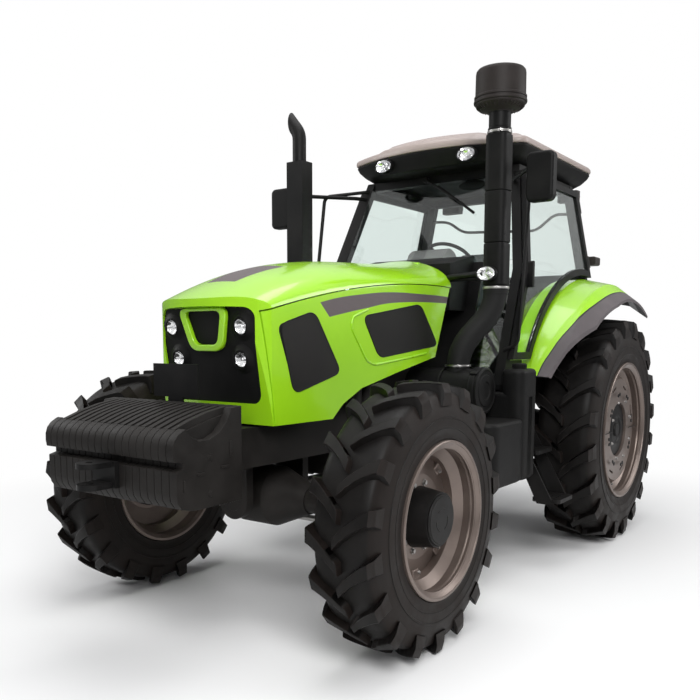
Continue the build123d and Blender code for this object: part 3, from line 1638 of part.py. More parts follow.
with BuildPart() as lamp_housings:
    for side in (-1, 1):
        with BuildSketch(cross_plane(pillar_back - pillar_lamp_arm)):
            with Locations((side * (pillar_lamp_inner + pillar_lamp_arm_width / 2), pillar_lamp_z)):
                Rectangle(pillar_lamp_arm_width, pillar_lamp_height / 2)
        extrude(amount=pillar_lamp_arm)
        with BuildSketch(cross_plane(pillar_back - pillar_lamp_arm - pillar_lamp_length)):
            with Locations((side * (pillar_lamp_inner + pillar_lamp_width / 2), pillar_lamp_z)):
                RectangleRounded(pillar_lamp_width, pillar_lamp_height, pillar_lamp_height / 4)
        extrude(amount=pillar_lamp_length)
        with BuildSketch(Plane.XY.offset(cab_top_z)):
            with Locations((at_rear(roof_rear) + roof_box_length, side * roof_box_y)):
                RectangleRounded(roof_box_length, roof_box_width, roof_box_length / 4)
        extrude(amount=-roof_box_height)

# Rear linkage: the arms and links of each side form parallelograms with their rods
link_y = 300
link_thickness = 30
link_pin_x = -200
link_pin_z = 600
link_pin_radius = 20
link_eye_radius = 40
link_end = rear_overhang - link_eye_radius
link_end_z = 560
link_bore = 14.5
rod_share = 0.5
rod_pin_radius = 14
rod_thickness = 28
rod_width = 60
lift_x = -180
lift_z = 1080
lift_hub_radius = 40
lift_hub_wall = 22
pin_head = 4
rod_dx = -(link_end + link_pin_x) * rod_share
rod_dz = -(link_pin_z - link_end_z) * rod_share
rod_y = link_y + link_thickness + side_gap


def link_bar(x1, z1, x2, z2, width):
    """A flat bar's outline between two points, with round ends."""
    length = math.hypot(x2 - x1, z2 - z1)
    turn = math.degrees(math.atan2(z2 - z1, x2 - x1))
    with Locations(Location((at_rear((x1 + x2) / 2), (z1 + z2) / 2, 0), (0, 0, turn))):
        SlotCenterToCenter(length, width)


with BuildPart() as lower_links:
    with BuildSketch(left_plane(link_y + link_thickness)):
        link_bar(link_pin_x, link_pin_z, -link_end, link_end_z, 2 * link_eye_radius)
        with Locations((at_rear(link_pin_x), link_pin_z)):
            Circle(link_pin_radius + running_gap, mode=Mode.SUBTRACT)
        with Locations((at_rear(-link_end), link_end_z)):
            Circle(link_bore, mode=Mode.SUBTRACT)
    extrude(amount=link_thickness)
    with BuildSketch(left_plane(rod_y + rod_thickness)):
        with Locations((at_rear(link_pin_x + rod_dx), link_pin_z + rod_dz)):
            Circle(rod_pin_radius)
    extrude(amount=rod_y + rod_thickness - link_y)
    mirror(about=Plane.XZ)

with BuildPart() as lift_arms:
    with BuildSketch(left_plane(link_y + link_thickness)):
        link_bar(lift_x, lift_z, lift_x + rod_dx, lift_z + rod_dz, 2 * (lift_hub_radius + lift_hub_wall))
        with Locations((at_rear(lift_x), lift_z)):
            Circle(lift_hub_radius + running_gap, mode=Mode.SUBTRACT)
    extrude(amount=link_thickness)
    with BuildSketch(left_plane(rod_y + rod_thickness)):
        with Locations((at_rear(lift_x + rod_dx), lift_z + rod_dz)):
            Circle(rod_pin_radius)
    extrude(amount=rod_y + rod_thickness - link_y)
    mirror(about=Plane.XZ)

with BuildPart() as lift_rods:
    with BuildSketch(left_plane(rod_y + rod_thickness)):
        link_bar(link_pin_x + rod_dx, link_pin_z + rod_dz, lift_x + rod_dx, lift_z + rod_dz, rod_width)
        with Locations(
            (at_rear(link_pin_x + rod_dx), link_pin_z + rod_dz), (at_rear(lift_x + rod_dx), lift_z + rod_dz)
        ):
            Circle(rod_pin_radius + running_gap, mode=Mode.SUBTRACT)
    extrude(amount=rod_thickness)
    mirror(about=Plane.XZ)

with BuildPart() as linkage_pins:
    with BuildSketch(left_plane(link_y + link_thickness + pin_head)):
        with Locations((at_rear(link_pin_x), link_pin_z)):
            Circle(link_pin_radius)
        with Locations((at_rear(lift_x), lift_z)):
            Circle(lift_hub_radius)
    extrude(amount=link_y + link_thickness + pin_head - gearbox_width / 2)
    mirror(about=Plane.XZ)

# Drawbar, power take-off stub and the bracket of the top link
hitch_z = 480
drawbar_end = -770
drawbar_length = 700
drawbar_width = 90
drawbar_bore = 16.5
stub_radius = 17.5
stub_length = 110
stub_z = 690
top_link_hole_x = -400
top_link_z = 1040
top_link_bore = 12.75
top_link_gap = 52
top_link_plate = 16
top_link_radius = 38

with BuildPart() as rear_hitch:
    with BuildSketch(Plane.XY.offset(hitch_z)):
        with Locations((at_rear(drawbar_end + drawbar_length / 2), 0)):
            Rectangle(drawbar_length, drawbar_width)
        with Locations((at_rear(drawbar_end), 0)):
            Circle(drawbar_width / 2)
            Circle(drawbar_bore, mode=Mode.SUBTRACT)
    extrude(amount=gearbox_bottom_z - hitch_z)
    with BuildSketch(cross_plane(at_rear(gearbox_rear) - stub_length)):
        with Locations((0, stub_z)):
            Circle(stub_radius)
    extrude(amount=stub_length)
    for inner in (top_link_gap / 2 + top_link_plate, -top_link_gap / 2):
        with BuildSketch(left_plane(inner)):
            with Locations((at_rear(top_link_hole_x), top_link_z)):
                Circle(top_link_radius)
            with Locations((at_rear((top_link_hole_x + gearbox_rear) / 2), top_link_z)):
                Rectangle(gearbox_rear - top_link_hole_x, 2 * top_link_radius)
            with Locations((at_rear(top_link_hole_x), top_link_z)):
                Circle(top_link_bore, mode=Mode.SUBTRACT)
        extrude(amount=top_link_plate)

front_wheel_part = on_wheel(left_front_wheel.part, front_wheel_plane)
front_hub_part = on_wheel(left_front_hub.part, front_wheel_plane)
rear_wheel_part = on_wheel(left_rear_wheel.part, rear_wheel_plane)

pieces = {
    "left_front_tyre": left_front_tyre.part, "right_front_tyre": other_side(left_front_tyre.part),
    "left_rear_tyre": left_rear_tyre.part, "right_rear_tyre": other_side(left_rear_tyre.part),
    "left_front_wheel": front_wheel_part, "right_front_wheel": other_side(front_wheel_part),
    "left_front_hub": front_hub_part, "right_front_hub": other_side(front_hub_part),
    "left_rear_wheel": rear_wheel_part, "right_rear_wheel": other_side(rear_wheel_part),
    "left_knuckle": left_knuckle.part, "right_knuckle": other_side(left_knuckle.part),
    "left_door": left_door.part, "right_door": other_side(left_door.part),
    "left_door_glass": left_door_glass.part, "right_door_glass": other_side(left_door_glass.part),
    "front_axle": front_axle.part, "tie_rod": tie_rod.part, "front_support": front_support.part,
    "engine": engine.part, "transmission": transmission.part, "rear_axle": rear_axle.part,
    "drive_shaft": drive_shaft.part, "front_weights": front_weights.part, "weight_carrier": weight_carrier.part,
    "tow_clevis": tow_clevis.part, "hood": hood.part, "hood_side_panels": hood_side_panels.part,
    "side_screens": side_screens.part, "grille": grille.part, "headlamps": headlamps.part,
    "nose_frame": nose_frame.part, "exhaust": exhaust.part, "intake_stack": intake_stack.part,
    "intake_hose": intake_hose.part, "air_cleaner": air_cleaner.part, "cab_frame": cab_frame.part,
    "cab_floor": cab_floor.part, "windscreen": windscreen.part, "rear_window": rear_window.part,
    "roof_visor": roof_visor.part, "cab_roof": cab_roof.part, "seat": seat.part, "console": console.part,
    "steering_wheel": steering_wheel.part, "fenders": fenders.part, "fender_flares": fender_flares.part,
    "fuel_tanks": fuel_tanks.part, "steps": steps.part, "mirrors": mirrors.part, "work_lamps": work_lamps.part,
    "lamp_housings": lamp_housings.part, "cowl": cowl.part, "lower_links": lower_links.part,
    "lift_arms": lift_arms.part, "lift_rods": lift_rods.part, "rear_hitch": rear_hitch.part,
    "linkage_pins": linkage_pins.part,
}

for name, piece in pieces.items():
    piece.label = name
    export_step(piece, f"parts/{name}.step")
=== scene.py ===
# %% [markdown]
# # A farm tractor, dressed for its portrait
# The solids of the tractor come in as a fixed frame: every node already has its real size and place in metres.
# This lesson gives each surface its finish, adds the small pieces that a solid model leaves out, and sets up
# the camera and the studio. We load the frame first and keep its box, because nothing we add may reach past it.

import json
import math

import bmesh
import bpy
from mathutils import Matrix, Vector


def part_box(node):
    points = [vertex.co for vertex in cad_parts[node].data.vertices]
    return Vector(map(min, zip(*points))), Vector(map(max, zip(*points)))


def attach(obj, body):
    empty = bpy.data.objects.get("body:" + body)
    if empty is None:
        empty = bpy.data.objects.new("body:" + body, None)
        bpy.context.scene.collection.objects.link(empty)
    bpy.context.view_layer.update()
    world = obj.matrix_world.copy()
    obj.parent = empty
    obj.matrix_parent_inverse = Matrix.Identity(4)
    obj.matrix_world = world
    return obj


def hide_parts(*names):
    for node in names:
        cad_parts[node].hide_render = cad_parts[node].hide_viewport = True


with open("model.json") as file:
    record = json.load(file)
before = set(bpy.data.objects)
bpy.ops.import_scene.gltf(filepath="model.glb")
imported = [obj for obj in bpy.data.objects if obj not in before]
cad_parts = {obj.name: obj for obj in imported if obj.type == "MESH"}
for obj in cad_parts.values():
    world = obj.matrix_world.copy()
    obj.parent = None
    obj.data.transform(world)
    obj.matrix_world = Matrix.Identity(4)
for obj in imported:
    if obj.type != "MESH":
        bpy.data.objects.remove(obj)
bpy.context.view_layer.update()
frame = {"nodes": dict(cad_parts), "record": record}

# %% [markdown]
# ## Camera
# The picture is taken from the front left, a little above the height of the hood. Its place and focal length were
# found by fitting the wheels, the hood and the cab to the picture, so the numbers below are measured and not
# chosen by eye. The small shift keeps the camera level with its own centre while the picture is framed lower.

# %% Make the camera
camera_place = Vector((4.5905, 2.855, 1.517))
camera_turn = math.radians(-143.48)
camera_pitch = math.radians(-6.74)
picture, picture_middle = 700, (329.6, 431.1)
focal_length = 786.2

camera_data = bpy.data.cameras.new("portrait_camera")
camera_data.sensor_width = 36
camera_data.lens = camera_data.sensor_width * focal_length / picture
camera_data.shift_x = (picture / 2 - picture_middle[0]) / picture
camera_data.shift_y = (picture_middle[1] - picture / 2) / picture
camera = bpy.data.objects.new("portrait_camera", camera_data)
bpy.context.scene.collection.objects.link(camera)
looking = Vector((
    math.cos(camera_turn) * math.cos(camera_pitch),
    math.sin(camera_turn) * math.cos(camera_pitch),
    math.sin(camera_pitch),
))
camera.location = camera_place
camera.rotation_mode = "QUATERNION"
camera.rotation_quaternion = looking.to_track_quat("-Z", "Y")
bpy.context.scene.camera = camera
bpy.context.scene.view_settings.view_transform = "Standard"
print("camera looks along", [round(v, 3) for v in looking])

# %% [markdown]
# ## Studio
# A product picture like this stands on white. Two things make that: a floor whose colour fades to pure white away
# from the tractor, so that it has no horizon, and a world that is white to the eye, to gloss and to glass, but
# lights the object only softly. Large area lamps then give the long, soft highlights that painted sheet metal shows.


# %% Helpers for node trees
def new_material(name):
    """A material with an empty tree, and a shader that goes to its output."""
    material = bpy.data.materials.new(name)
    material.use_nodes = True
    tree = material.node_tree
    tree.nodes.clear()
    output = tree.nodes.new("ShaderNodeOutputMaterial")
    shader = tree.nodes.new("ShaderNodeBsdfPrincipled")
    tree.links.new(shader.outputs["BSDF"], output.inputs["Surface"])
    return material, tree, shader


def add_node(tree, kind, **settings):
    """A node of that kind, with settings on the node itself."""
    node = tree.nodes.new(kind)
    for key, value in settings.items():
        setattr(node, key, value)
    return node


def put(tree, socket, value):
    """Links another node's output to a socket, or writes a value on it."""
    if isinstance(value, bpy.types.NodeSocket):
        tree.links.new(value, socket)
    else:
        socket.default_value = value


def feed(tree, node, **sockets):
    """Sets a node's inputs by name, and gives the node back."""
    for key, value in sockets.items():
        put(tree, node.inputs[key.replace("_", " ")], value)
    return node


# %% Helpers for values
def calc(tree, first, second=0.0, operation="ADD", **settings):
    """Two values joined by one operation."""
    node = add_node(tree, "ShaderNodeMath", operation=operation, **settings)
    for socket, value in zip(node.inputs, (first, second)):
        put(tree, socket, value)
    return node.outputs["Value"]


def ranged(tree, value, low, high, start=0.0, end=1.0, step="LINEAR"):
    """A value taken from the range start to end into the range low to high."""
    node = add_node(tree, "ShaderNodeMapRange", interpolation_type=step)
    feed(tree, node, Value=value, From_Min=start, From_Max=end, To_Min=low, To_Max=high)
    return node.outputs["Result"]


def axes_of(tree, vector):
    """The outputs X, Y and Z of a vector."""
    return feed(tree, add_node(tree, "ShaderNodeSeparateXYZ"), Vector=vector).outputs


def object_place(tree):
    """The point's place on the object."""
    return add_node(tree, "ShaderNodeTexCoord").outputs["Object"]


def surface_normal(tree):
    """The outputs X, Y and Z of the way a surface faces."""
    return axes_of(tree, add_node(tree, "ShaderNodeNewGeometry").outputs["Normal"])


def noise_of(tree, **sockets):
    """A noise over the object."""
    return feed(tree, add_node(tree, "ShaderNodeTexNoise"), Vector=object_place(tree), **sockets).outputs["Fac"]


def bumped(tree, height, strength, depth, **settings):
    """A normal that is bent by a height."""
    node = add_node(tree, "ShaderNodeBump", **settings)
    return feed(tree, node, Strength=strength, Distance=depth, Height=height).outputs["Normal"]


def mix_shader(tree, share, first, second):
    """One shader that goes over into another."""
    node = add_node(tree, "ShaderNodeMixShader")
    for socket, value in zip(node.inputs, (share, first, second)):
        put(tree, socket, value)
    return node.outputs["Shader"]


# %% Floor
floor_mesh = bpy.data.meshes.new("studio_floor")
shaping = bmesh.new()
bmesh.ops.create_grid(shaping, x_segments=2, y_segments=2, size=40)
shaping.to_mesh(floor_mesh)
shaping.free()
floor = bpy.data.objects.new("studio_floor", floor_mesh)
bpy.context.scene.collection.objects.link(floor)

fade_start, fade_end = 2.4, 5.2
floor_material, tree, shader = new_material("studio_floor")
feed(tree, shader, Base_Color=(0.93, 0.93, 0.93, 1), Roughness=0.9, Specular_IOR_Level=0.0)
spread = add_node(tree, "ShaderNodeVectorMath", operation="LENGTH")
put(tree, spread.inputs[0], object_place(tree))
fade = ranged(tree, spread.outputs["Value"], 0.0, 1.0, fade_start, fade_end, "SMOOTHSTEP")
only_eye = calc(tree, fade, add_node(tree, "ShaderNodeLightPath").outputs["Is Camera Ray"], "MULTIPLY")
white = feed(tree, add_node(tree, "ShaderNodeEmission"), Color=(1, 1, 1, 1), Strength=1.0)
blend = mix_shader(tree, only_eye, shader.outputs["BSDF"], white.outputs["Emission"])
put(tree, tree.nodes["Material Output"].inputs["Surface"], blend)
floor.data.materials.append(floor_material)
print("floor fades from", fade_start, "to", fade_end, "m")


# %% World and lamps
def background(tree, colour, strength):
    """A world shader of one colour."""
    node = add_node(tree, "ShaderNodeBackground")
    return feed(tree, node, Color=(*colour, 1), Strength=strength).outputs["Background"]


world = bpy.data.worlds.new("studio_world")
world.use_nodes = True
tree = world.node_tree
tree.nodes.clear()
output = add_node(tree, "ShaderNodeOutputWorld")
upward = axes_of(tree, add_node(tree, "ShaderNodeTexCoord").outputs["Generated"])["Z"]
seen = add_node(tree, "ShaderNodeLightPath").outputs
soft = background(tree, (0.97, 0.98, 1.0), 0.30)
mirrored = background(tree, (1, 1, 1), ranged(tree, upward, 0.16, 1.1, 0.0, 0.9, "SMOOTHSTEP"))
in_gloss = mix_shader(tree, seen["Is Glossy Ray"], soft, mirrored)
eye_or_glass = calc(tree, seen["Is Camera Ray"], seen["Is Transmission Ray"], "MAXIMUM")
put(tree, output.inputs["Surface"], mix_shader(tree, eye_or_glass, in_gloss, background(tree, (1, 1, 1), 1.0)))
bpy.context.scene.world = world


def softbox(name, place, target, size, watts):
    """A square area lamp that faces a target."""
    data = bpy.data.lights.new(name, "AREA")
    data.shape = "SQUARE"
    data.size = size
    data.energy = watts
    lamp = bpy.data.objects.new(name, data)
    bpy.context.scene.collection.objects.link(lamp)
    lamp.location = place
    lamp.rotation_mode = "QUATERNION"
    lamp.rotation_quaternion = (Vector(target) - Vector(place)).to_track_quat("-Z", "Y")


softbox("overhead_lamp", (0.5, 0.5, 7.5), (0.2, 0, 1), 5.0, 250)
softbox("front_left_lamp", (5.5, 4.5, 5.0), (0.3, 0.3, 1.1), 3.0, 360)
softbox("rear_left_lamp", (-4.5, 5.5, 4.0), (-0.5, 0.3, 1.2), 3.0, 150)
softbox("right_lamp", (3.0, -6.0, 4.5), (0.2, 0, 1.2), 3.5, 150)
print("studio ready")

# %% [markdown]
# ## Finishes that repeat
# Three effects come back on many pieces: a fine grain that breaks up a highlight, a cloudy unevenness of colour,
# and dust that settles on what is low or faces up. Each is a node group with named inputs, so a material only says
# how much of it it wants. A group gives out plain masks and heights, and each material keeps its own shader.


# %% Node groups for grain, cloud and dust
def new_group(name, inputs, output):
    """A shader node group with float inputs {name: default} and one float output."""
    group = bpy.data.node_groups.new(name, "ShaderNodeTree")
    for key, value in inputs.items():
        socket = group.interface.new_socket(name=key, in_out="INPUT", socket_type="NodeSocketFloat")
        socket.default_value = value
    group.interface.new_socket(name=output, in_out="OUTPUT", socket_type="NodeSocketFloat")
    return group, group.nodes.new("NodeGroupInput").outputs, group.nodes.new("NodeGroupOutput")


grain_group, given, result = new_group("surface_grain", {"Scale": 300.0, "Detail": 3.0}, "Height")
feed(grain_group, result, Height=noise_of(grain_group, Scale=given["Scale"], Detail=given["Detail"]))

cloud_group, given, result = new_group("uneven_cloud", {"Scale": 4.0, "Low": 0.35, "High": 0.7}, "Mask")
spots = noise_of(cloud_group, Scale=given["Scale"], Detail=5.0, Roughness=0.6)
feed(cloud_group, result, Mask=ranged(cloud_group, spots, 0.0, 1.0, given["Low"], given["High"], "SMOOTHSTEP"))

dust_inputs = {"Low Height": 0.0, "High Height": 1.2, "Upward": 0.5, "Scale": 9.0}
dust_group, given, result = new_group("settled_dust", dust_inputs, "Mask")
height = axes_of(dust_group, object_place(dust_group))["Z"]
low = ranged(dust_group, height, 1.0, 0.0, given["Low Height"], given["High Height"])
up = calc(dust_group, surface_normal(dust_group)["Z"], given["Upward"], "MULTIPLY", use_clamp=True)
spots = noise_of(dust_group, Scale=given["Scale"], Detail=6.0, Roughness=0.65)
settled = calc(dust_group, low, up, use_clamp=True)
feed(dust_group, result, Mask=calc(dust_group, settled, spots, "MULTIPLY"))


def use_group(tree, group, **values):
    """Places a group in a material with its own values, and gives its only output."""
    return feed(tree, add_node(tree, "ShaderNodeGroup", node_tree=group), **values).outputs[0]


def grained(tree, scale, strength, depth):
    """A normal with the grain in it."""
    return bumped(tree, use_group(tree, grain_group, Scale=scale), strength, depth)


print("groups", [g.name for g in (grain_group, cloud_group, dust_group)])

# %% [markdown]
# ## Plain finishes
# Most of the tractor wears one of a few finishes: gloss paint, satin black paint, cast iron, moulded plastic,
# rubber, rim paint. They differ in colour, in how rough they are and in how strong the grain is, so one function
# builds them: two close colours mixed by the cloud, dust on top, and the grain as a bump.


# %% A function for plain finishes
dust_colour = (0.23, 0.19, 0.155)
near_black = (0.006, 0.006, 0.006)
green_tones = (0.325, 0.66, 0.012), (0.30, 0.63, 0.010)
coat_rough = 0.06


def mix_colour(tree, mask, below, above):
    """Two colours mixed by a mask."""
    node = add_node(tree, "ShaderNodeMix", data_type="RGBA")
    put(tree, node.inputs["Factor"], mask)
    for socket, value in ((node.inputs[6], below), (node.inputs[7], above)):
        put(tree, socket, (*value, 1) if isinstance(value, tuple) else value)
    return node.outputs[2]


def dusted(tree, colour, amount, **values):
    """A colour with some dust on it."""
    dusty = use_group(tree, dust_group, **values)
    return mix_colour(tree, calc(tree, dusty, amount, "MULTIPLY"), colour, dust_colour)


def plain_finish(name, colour, second, rough, rough_spread=0.1, grain=300.0, bump=0.15, depth=0.0005, cloud=4.0,
                 dust=0.3, dust_top=1.2, upward=0.3, metallic=0.0, coat=0.0, specular=0.5):
    """A finish of two close colours, with dust, and a grain in its surface."""
    material, tree, shader = new_material(name)
    clouds = use_group(tree, cloud_group, Scale=cloud)
    paint = mix_colour(tree, clouds, colour, second)
    feed(tree, shader, Base_Color=dusted(tree, paint, dust, High_Height=dust_top, Upward=upward),
         Roughness=ranged(tree, clouds, rough, rough + rough_spread), Metallic=metallic, Coat_Weight=coat,
         Coat_Roughness=coat_rough, Specular_IOR_Level=specular, Normal=grained(tree, grain, bump, depth))
    return material


# %% The plain finishes
green_paint = plain_finish(
    "green_gloss_paint", (0.33, 0.68, 0.012), (0.31, 0.65, 0.010), 0.26, 0.06, grain=700, bump=0.03, depth=0.0002,
    dust=0.05, dust_top=1.4, upward=0.02, coat=0.6)
black_paint = plain_finish(
    "black_satin_paint", (0.006, 0.006, 0.0062), (0.010, 0.0095, 0.0095), 0.38, 0.15, grain=500, bump=0.08,
    depth=0.0003, dust=0.04, upward=0.15, specular=0.14)
cast_iron = plain_finish(
    "rough_cast_iron", (0.0115, 0.0105, 0.010), (0.019, 0.0175, 0.0165), 0.44, 0.2, grain=160, bump=0.35,
    depth=0.0012, dust=0.07, upward=0.2, specular=0.12)
black_plastic = plain_finish(
    "black_moulded_plastic", (0.0055, 0.0055, 0.0056), (0.009, 0.0088, 0.0086), 0.46, 0.12, grain=650, bump=0.18,
    depth=0.0003, dust=0.035, upward=0.2, specular=0.12)
grey_plastic = plain_finish(
    "grey_flare_plastic", (0.10, 0.09, 0.092), (0.125, 0.113, 0.115), 0.55, 0.1, grain=600, bump=0.2, depth=0.0004,
    dust=0.12, upward=0.25, specular=0.3)
roof_plastic = plain_finish(
    "roof_cap_plastic", (0.33, 0.27, 0.25), (0.36, 0.295, 0.275), 0.4, 0.08, grain=400, bump=0.05, depth=0.0003,
    dust=0.05, upward=0.05, coat=0.2)
rim_paint = plain_finish(
    "rim_champagne_paint", (0.165, 0.130, 0.114), (0.205, 0.164, 0.145), 0.3, 0.14, grain=500, bump=0.06,
    depth=0.0003, dust=0.12, dust_top=1.5, upward=0.05, metallic=0.6)
hose_rubber = plain_finish(
    "hose_rubber", (0.007, 0.007, 0.007), (0.010, 0.010, 0.010), 0.6, 0.1, grain=420, bump=0.15, depth=0.0004,
    dust=0.05, specular=0.2)
bare_steel = plain_finish(
    "bare_steel", (0.36, 0.35, 0.34), (0.46, 0.45, 0.44), 0.32, 0.2, grain=380, bump=0.08, depth=0.0003, dust=0.25,
    metallic=1.0)
seat_cloth = plain_finish(
    "seat_cloth", (0.055, 0.065, 0.065), (0.07, 0.085, 0.085), 0.85, 0.1, grain=900, bump=0.5, depth=0.0006,
    dust=0.0, upward=0.0)
print("materials so far", len(bpy.data.materials))

# %% [markdown]
# ## Finishes that change over a piece
# Some surfaces are not the same all over. A tyre is black on its tread and browner on its sidewalls, where wax comes
# out of the rubber. The hood wears a dark stripe and a matt panel, and the fender's rim is green inside and grey
# outside. All of these follow the object's own coordinates, so they are drawn with masks: a mask is 1 where a value
# lies between two limits, with a soft step of a millimetre or so at each limit.


# %% Masks from coordinates
def size_of(tree, value):
    """A value without its sign."""
    return calc(tree, value, 0.0, "ABSOLUTE")


def above(tree, value, limit, soft=0.0015):
    """1 where a value is above a limit, which may itself be a value."""
    return ranged(tree, calc(tree, value, limit, "SUBTRACT"), 0.0, 1.0, -soft, soft, "SMOOTHSTEP")


def both(tree, *masks):
    """1 where every mask is."""
    result = masks[0]
    for mask in masks[1:]:
        result = calc(tree, result, mask, "MULTIPLY")
    return result


def between(tree, value, low, high, soft=0.0015):
    """1 where a value lies between two limits."""
    return both(tree, above(tree, value, low, soft), above(tree, high, value, soft))


def curve_along(tree, value, points):
    """A height that follows points of (place, height) along a coordinate."""
    line = sorted(points)
    first, last = line[0][0], line[-1][0]
    low, high = min(height for place, height in line) - 0.001, max(height for place, height in line) + 0.001
    bend = add_node(tree, "ShaderNodeFloatCurve")
    knots = bend.mapping.curves[0].points
    for place, height in line[1:-1]:
        knots.new((place - first) / (last - first), (height - low) / (high - low))
    knots[0].location = (0, (line[0][1] - low) / (high - low))
    knots[len(knots) - 1].location = (1, (line[-1][1] - low) / (high - low))
    bend.mapping.update()
    put(tree, bend.inputs["Value"], ranged(tree, value, 0.0, 1.0, first, last))
    return ranged(tree, bend.outputs["Value"], low, high)


def green_of(tree, scale):
    """The hood's green, a little cloudy."""
    return mix_colour(tree, use_group(tree, cloud_group, Scale=scale), *green_tones)


# %% Tyre rubber, browner on the sidewalls
tyre_rubber, tree, shader = new_material("tyre_rubber")
wall = above(tree, size_of(tree, surface_normal(tree)["Y"]), 0.72, 0.22)
blotch = use_group(tree, cloud_group, Scale=7.0)
tread = mix_colour(tree, blotch, (0.0032, 0.0028, 0.0027), (0.0062, 0.0054, 0.0050))
waxed = mix_colour(tree, blotch, (0.0082, 0.0060, 0.0052), (0.0135, 0.0100, 0.0087))
rubber = mix_colour(tree, wall, tread, waxed)
feed(tree, shader, Base_Color=dusted(tree, rubber, 0.025, High_Height=1.5, Upward=0.2),
     Roughness=ranged(tree, blotch, 0.46, 0.66), Specular_IOR_Level=0.17, Normal=grained(tree, 240.0, 0.3, 0.0008))
print("tyre rubber ready")

# %% Hood paint with a stripe and a matt panel
front_axle, rear_axle = 1.3375, -1.4625
stripe_top = [(rear_axle + x, z) for x, z in ((2.83, 1.695), (2.45, 1.755), (2.075, 1.782), (1.44, 1.778))]
stripe_low = [(rear_axle + x, z) for x, z in ((2.83, 1.608), (2.45, 1.675), (2.075, 1.724), (1.44, 1.738))]
end_slope, end_x, end_z = 1.04, rear_axle + 2.812, 1.698

hood_paint, tree, shader = new_material("hood_striped_paint")
x, y, z = axes_of(tree, object_place(tree))
across = size_of(tree, y)
end_line = calc(tree, calc(tree, z, end_slope, "MULTIPLY"), end_x - end_slope * end_z)
stripe = both(
    tree, above(tree, curve_along(tree, x, stripe_top), z), above(tree, z, curve_along(tree, x, stripe_low)),
    above(tree, end_line, x), above(tree, across, 0.33),
)
taper = calc(tree, calc(tree, front_axle + 0.33, x, "SUBTRACT"), 0.12, "MULTIPLY")
panel = both(
    tree, between(tree, x, front_axle - 0.005, front_axle + 0.328), above(tree, calc(tree, taper, 0.10), across),
    above(tree, z, 1.70),
)
dark = calc(tree, stripe, panel, "MAXIMUM")
stretch = feed(tree, add_node(tree, "ShaderNodeMapping"), Vector=object_place(tree), Scale=(3, 3, 260))
brush = feed(tree, add_node(tree, "ShaderNodeTexNoise"), Vector=stretch.outputs["Vector"]).outputs["Fac"]
foil = mix_colour(tree, brush, (0.060, 0.047, 0.050), (0.125, 0.100, 0.104))
feed(tree, shader, Base_Color=mix_colour(tree, dark, green_of(tree, 3.0), foil),
     Roughness=ranged(tree, dark, 0.24, 0.5), Coat_Weight=ranged(tree, dark, 0.5, 0.0), Coat_Roughness=coat_rough,
     Normal=grained(tree, 700.0, 0.03, 0.0002))
print("hood paint ready")

# %% Flare: green inside its seam, grey outside
seam_points = ((1.20, 0.80), (1.04, 0.845), (0.90, 0.915), (0.64, 1.015), (0.30, 1.065), (-0.9, 1.075))
flare_finish, tree, shader = new_material("flare_green_and_grey")
x, y, z = axes_of(tree, object_place(tree))
across = size_of(tree, y)
seam = curve_along(tree, x, [(rear_axle + x_there, y_there) for x_there, y_there in seam_points])
outside = above(tree, across, seam, 0.001)
joint_line = between(tree, across, seam, calc(tree, seam, 0.007), 0.001)
clouds = use_group(tree, cloud_group, Scale=4.0)
grey = mix_colour(tree, clouds, (0.088, 0.076, 0.080), (0.115, 0.100, 0.104))
two_tone = mix_colour(tree, joint_line, mix_colour(tree, outside, green_of(tree, 4.0), grey), near_black)
# Faces that point down are painted near black: this is painted shade under the flare, not a colour of the plastic.
painted_shade_under = above(tree, -0.1, surface_normal(tree)["Z"], 0.05)
feed(tree, shader, Base_Color=mix_colour(tree, painted_shade_under, two_tone, near_black), Specular_IOR_Level=0.35,
     Roughness=ranged(tree, outside, 0.26, 0.55), Normal=grained(tree, 600.0, 0.12, 0.0003))
print("flare ready")

# %% Fender: gloss green above, black coating below
axle_height, skin_radius, crown_start, crown_slope = 0.83, 1.121, 0.8, 0.225
fender_finish, tree, shader = new_material("fender_green_and_black")
x, y, z = axes_of(tree, object_place(tree))
along = calc(tree, calc(tree, x, rear_axle, "SUBTRACT"), 2.0, "POWER")
rise = calc(tree, calc(tree, z, axle_height, "SUBTRACT"), 2.0, "POWER")
from_axle = calc(tree, calc(tree, along, rise), 0.5, "POWER")
crown = calc(tree, calc(tree, size_of(tree, y), crown_start, "SUBTRACT"), crown_slope, "MULTIPLY")
skin = calc(tree, skin_radius, calc(tree, crown, 0.0, "MAXIMUM"), "SUBTRACT")
top_side = above(tree, from_axle, skin, 0.001)
feed(tree, shader, Base_Color=mix_colour(tree, top_side, near_black, green_of(tree, 4.0)),
     Roughness=ranged(tree, top_side, 0.7, 0.25), Coat_Weight=calc(tree, top_side, 0.6, "MULTIPLY"),
     Coat_Roughness=coat_rough, Normal=grained(tree, 700.0, 0.04, 0.0002))
print("fender ready")

# %% [markdown]
# ## Glass
# The cab is glazed with tinted safety glass, a little greener than a house window. The Principled shader with full
# transmission gives it its gloss and its tint. Light that goes through such a pane to reach the seat would be lost,
# because a path tracer finds it only by chance, so for shadow rays the pane is simply see-through.


# %% Glass finishes
def glass_finish(name, tint, rough, shadow_tint):
    """Clear glass that lets shadow rays through."""
    material, tree, shader = new_material(name)
    feed(tree, shader, Base_Color=(*tint, 1), Roughness=rough, IOR=1.45, Transmission_Weight=1.0)
    clear = feed(tree, add_node(tree, "ShaderNodeBsdfTransparent"), Color=(*shadow_tint, 1))
    shadow = add_node(tree, "ShaderNodeLightPath").outputs["Is Shadow Ray"]
    blend = mix_shader(tree, shadow, shader.outputs["BSDF"], clear.outputs["BSDF"])
    put(tree, tree.nodes["Material Output"].inputs["Surface"], blend)
    return material


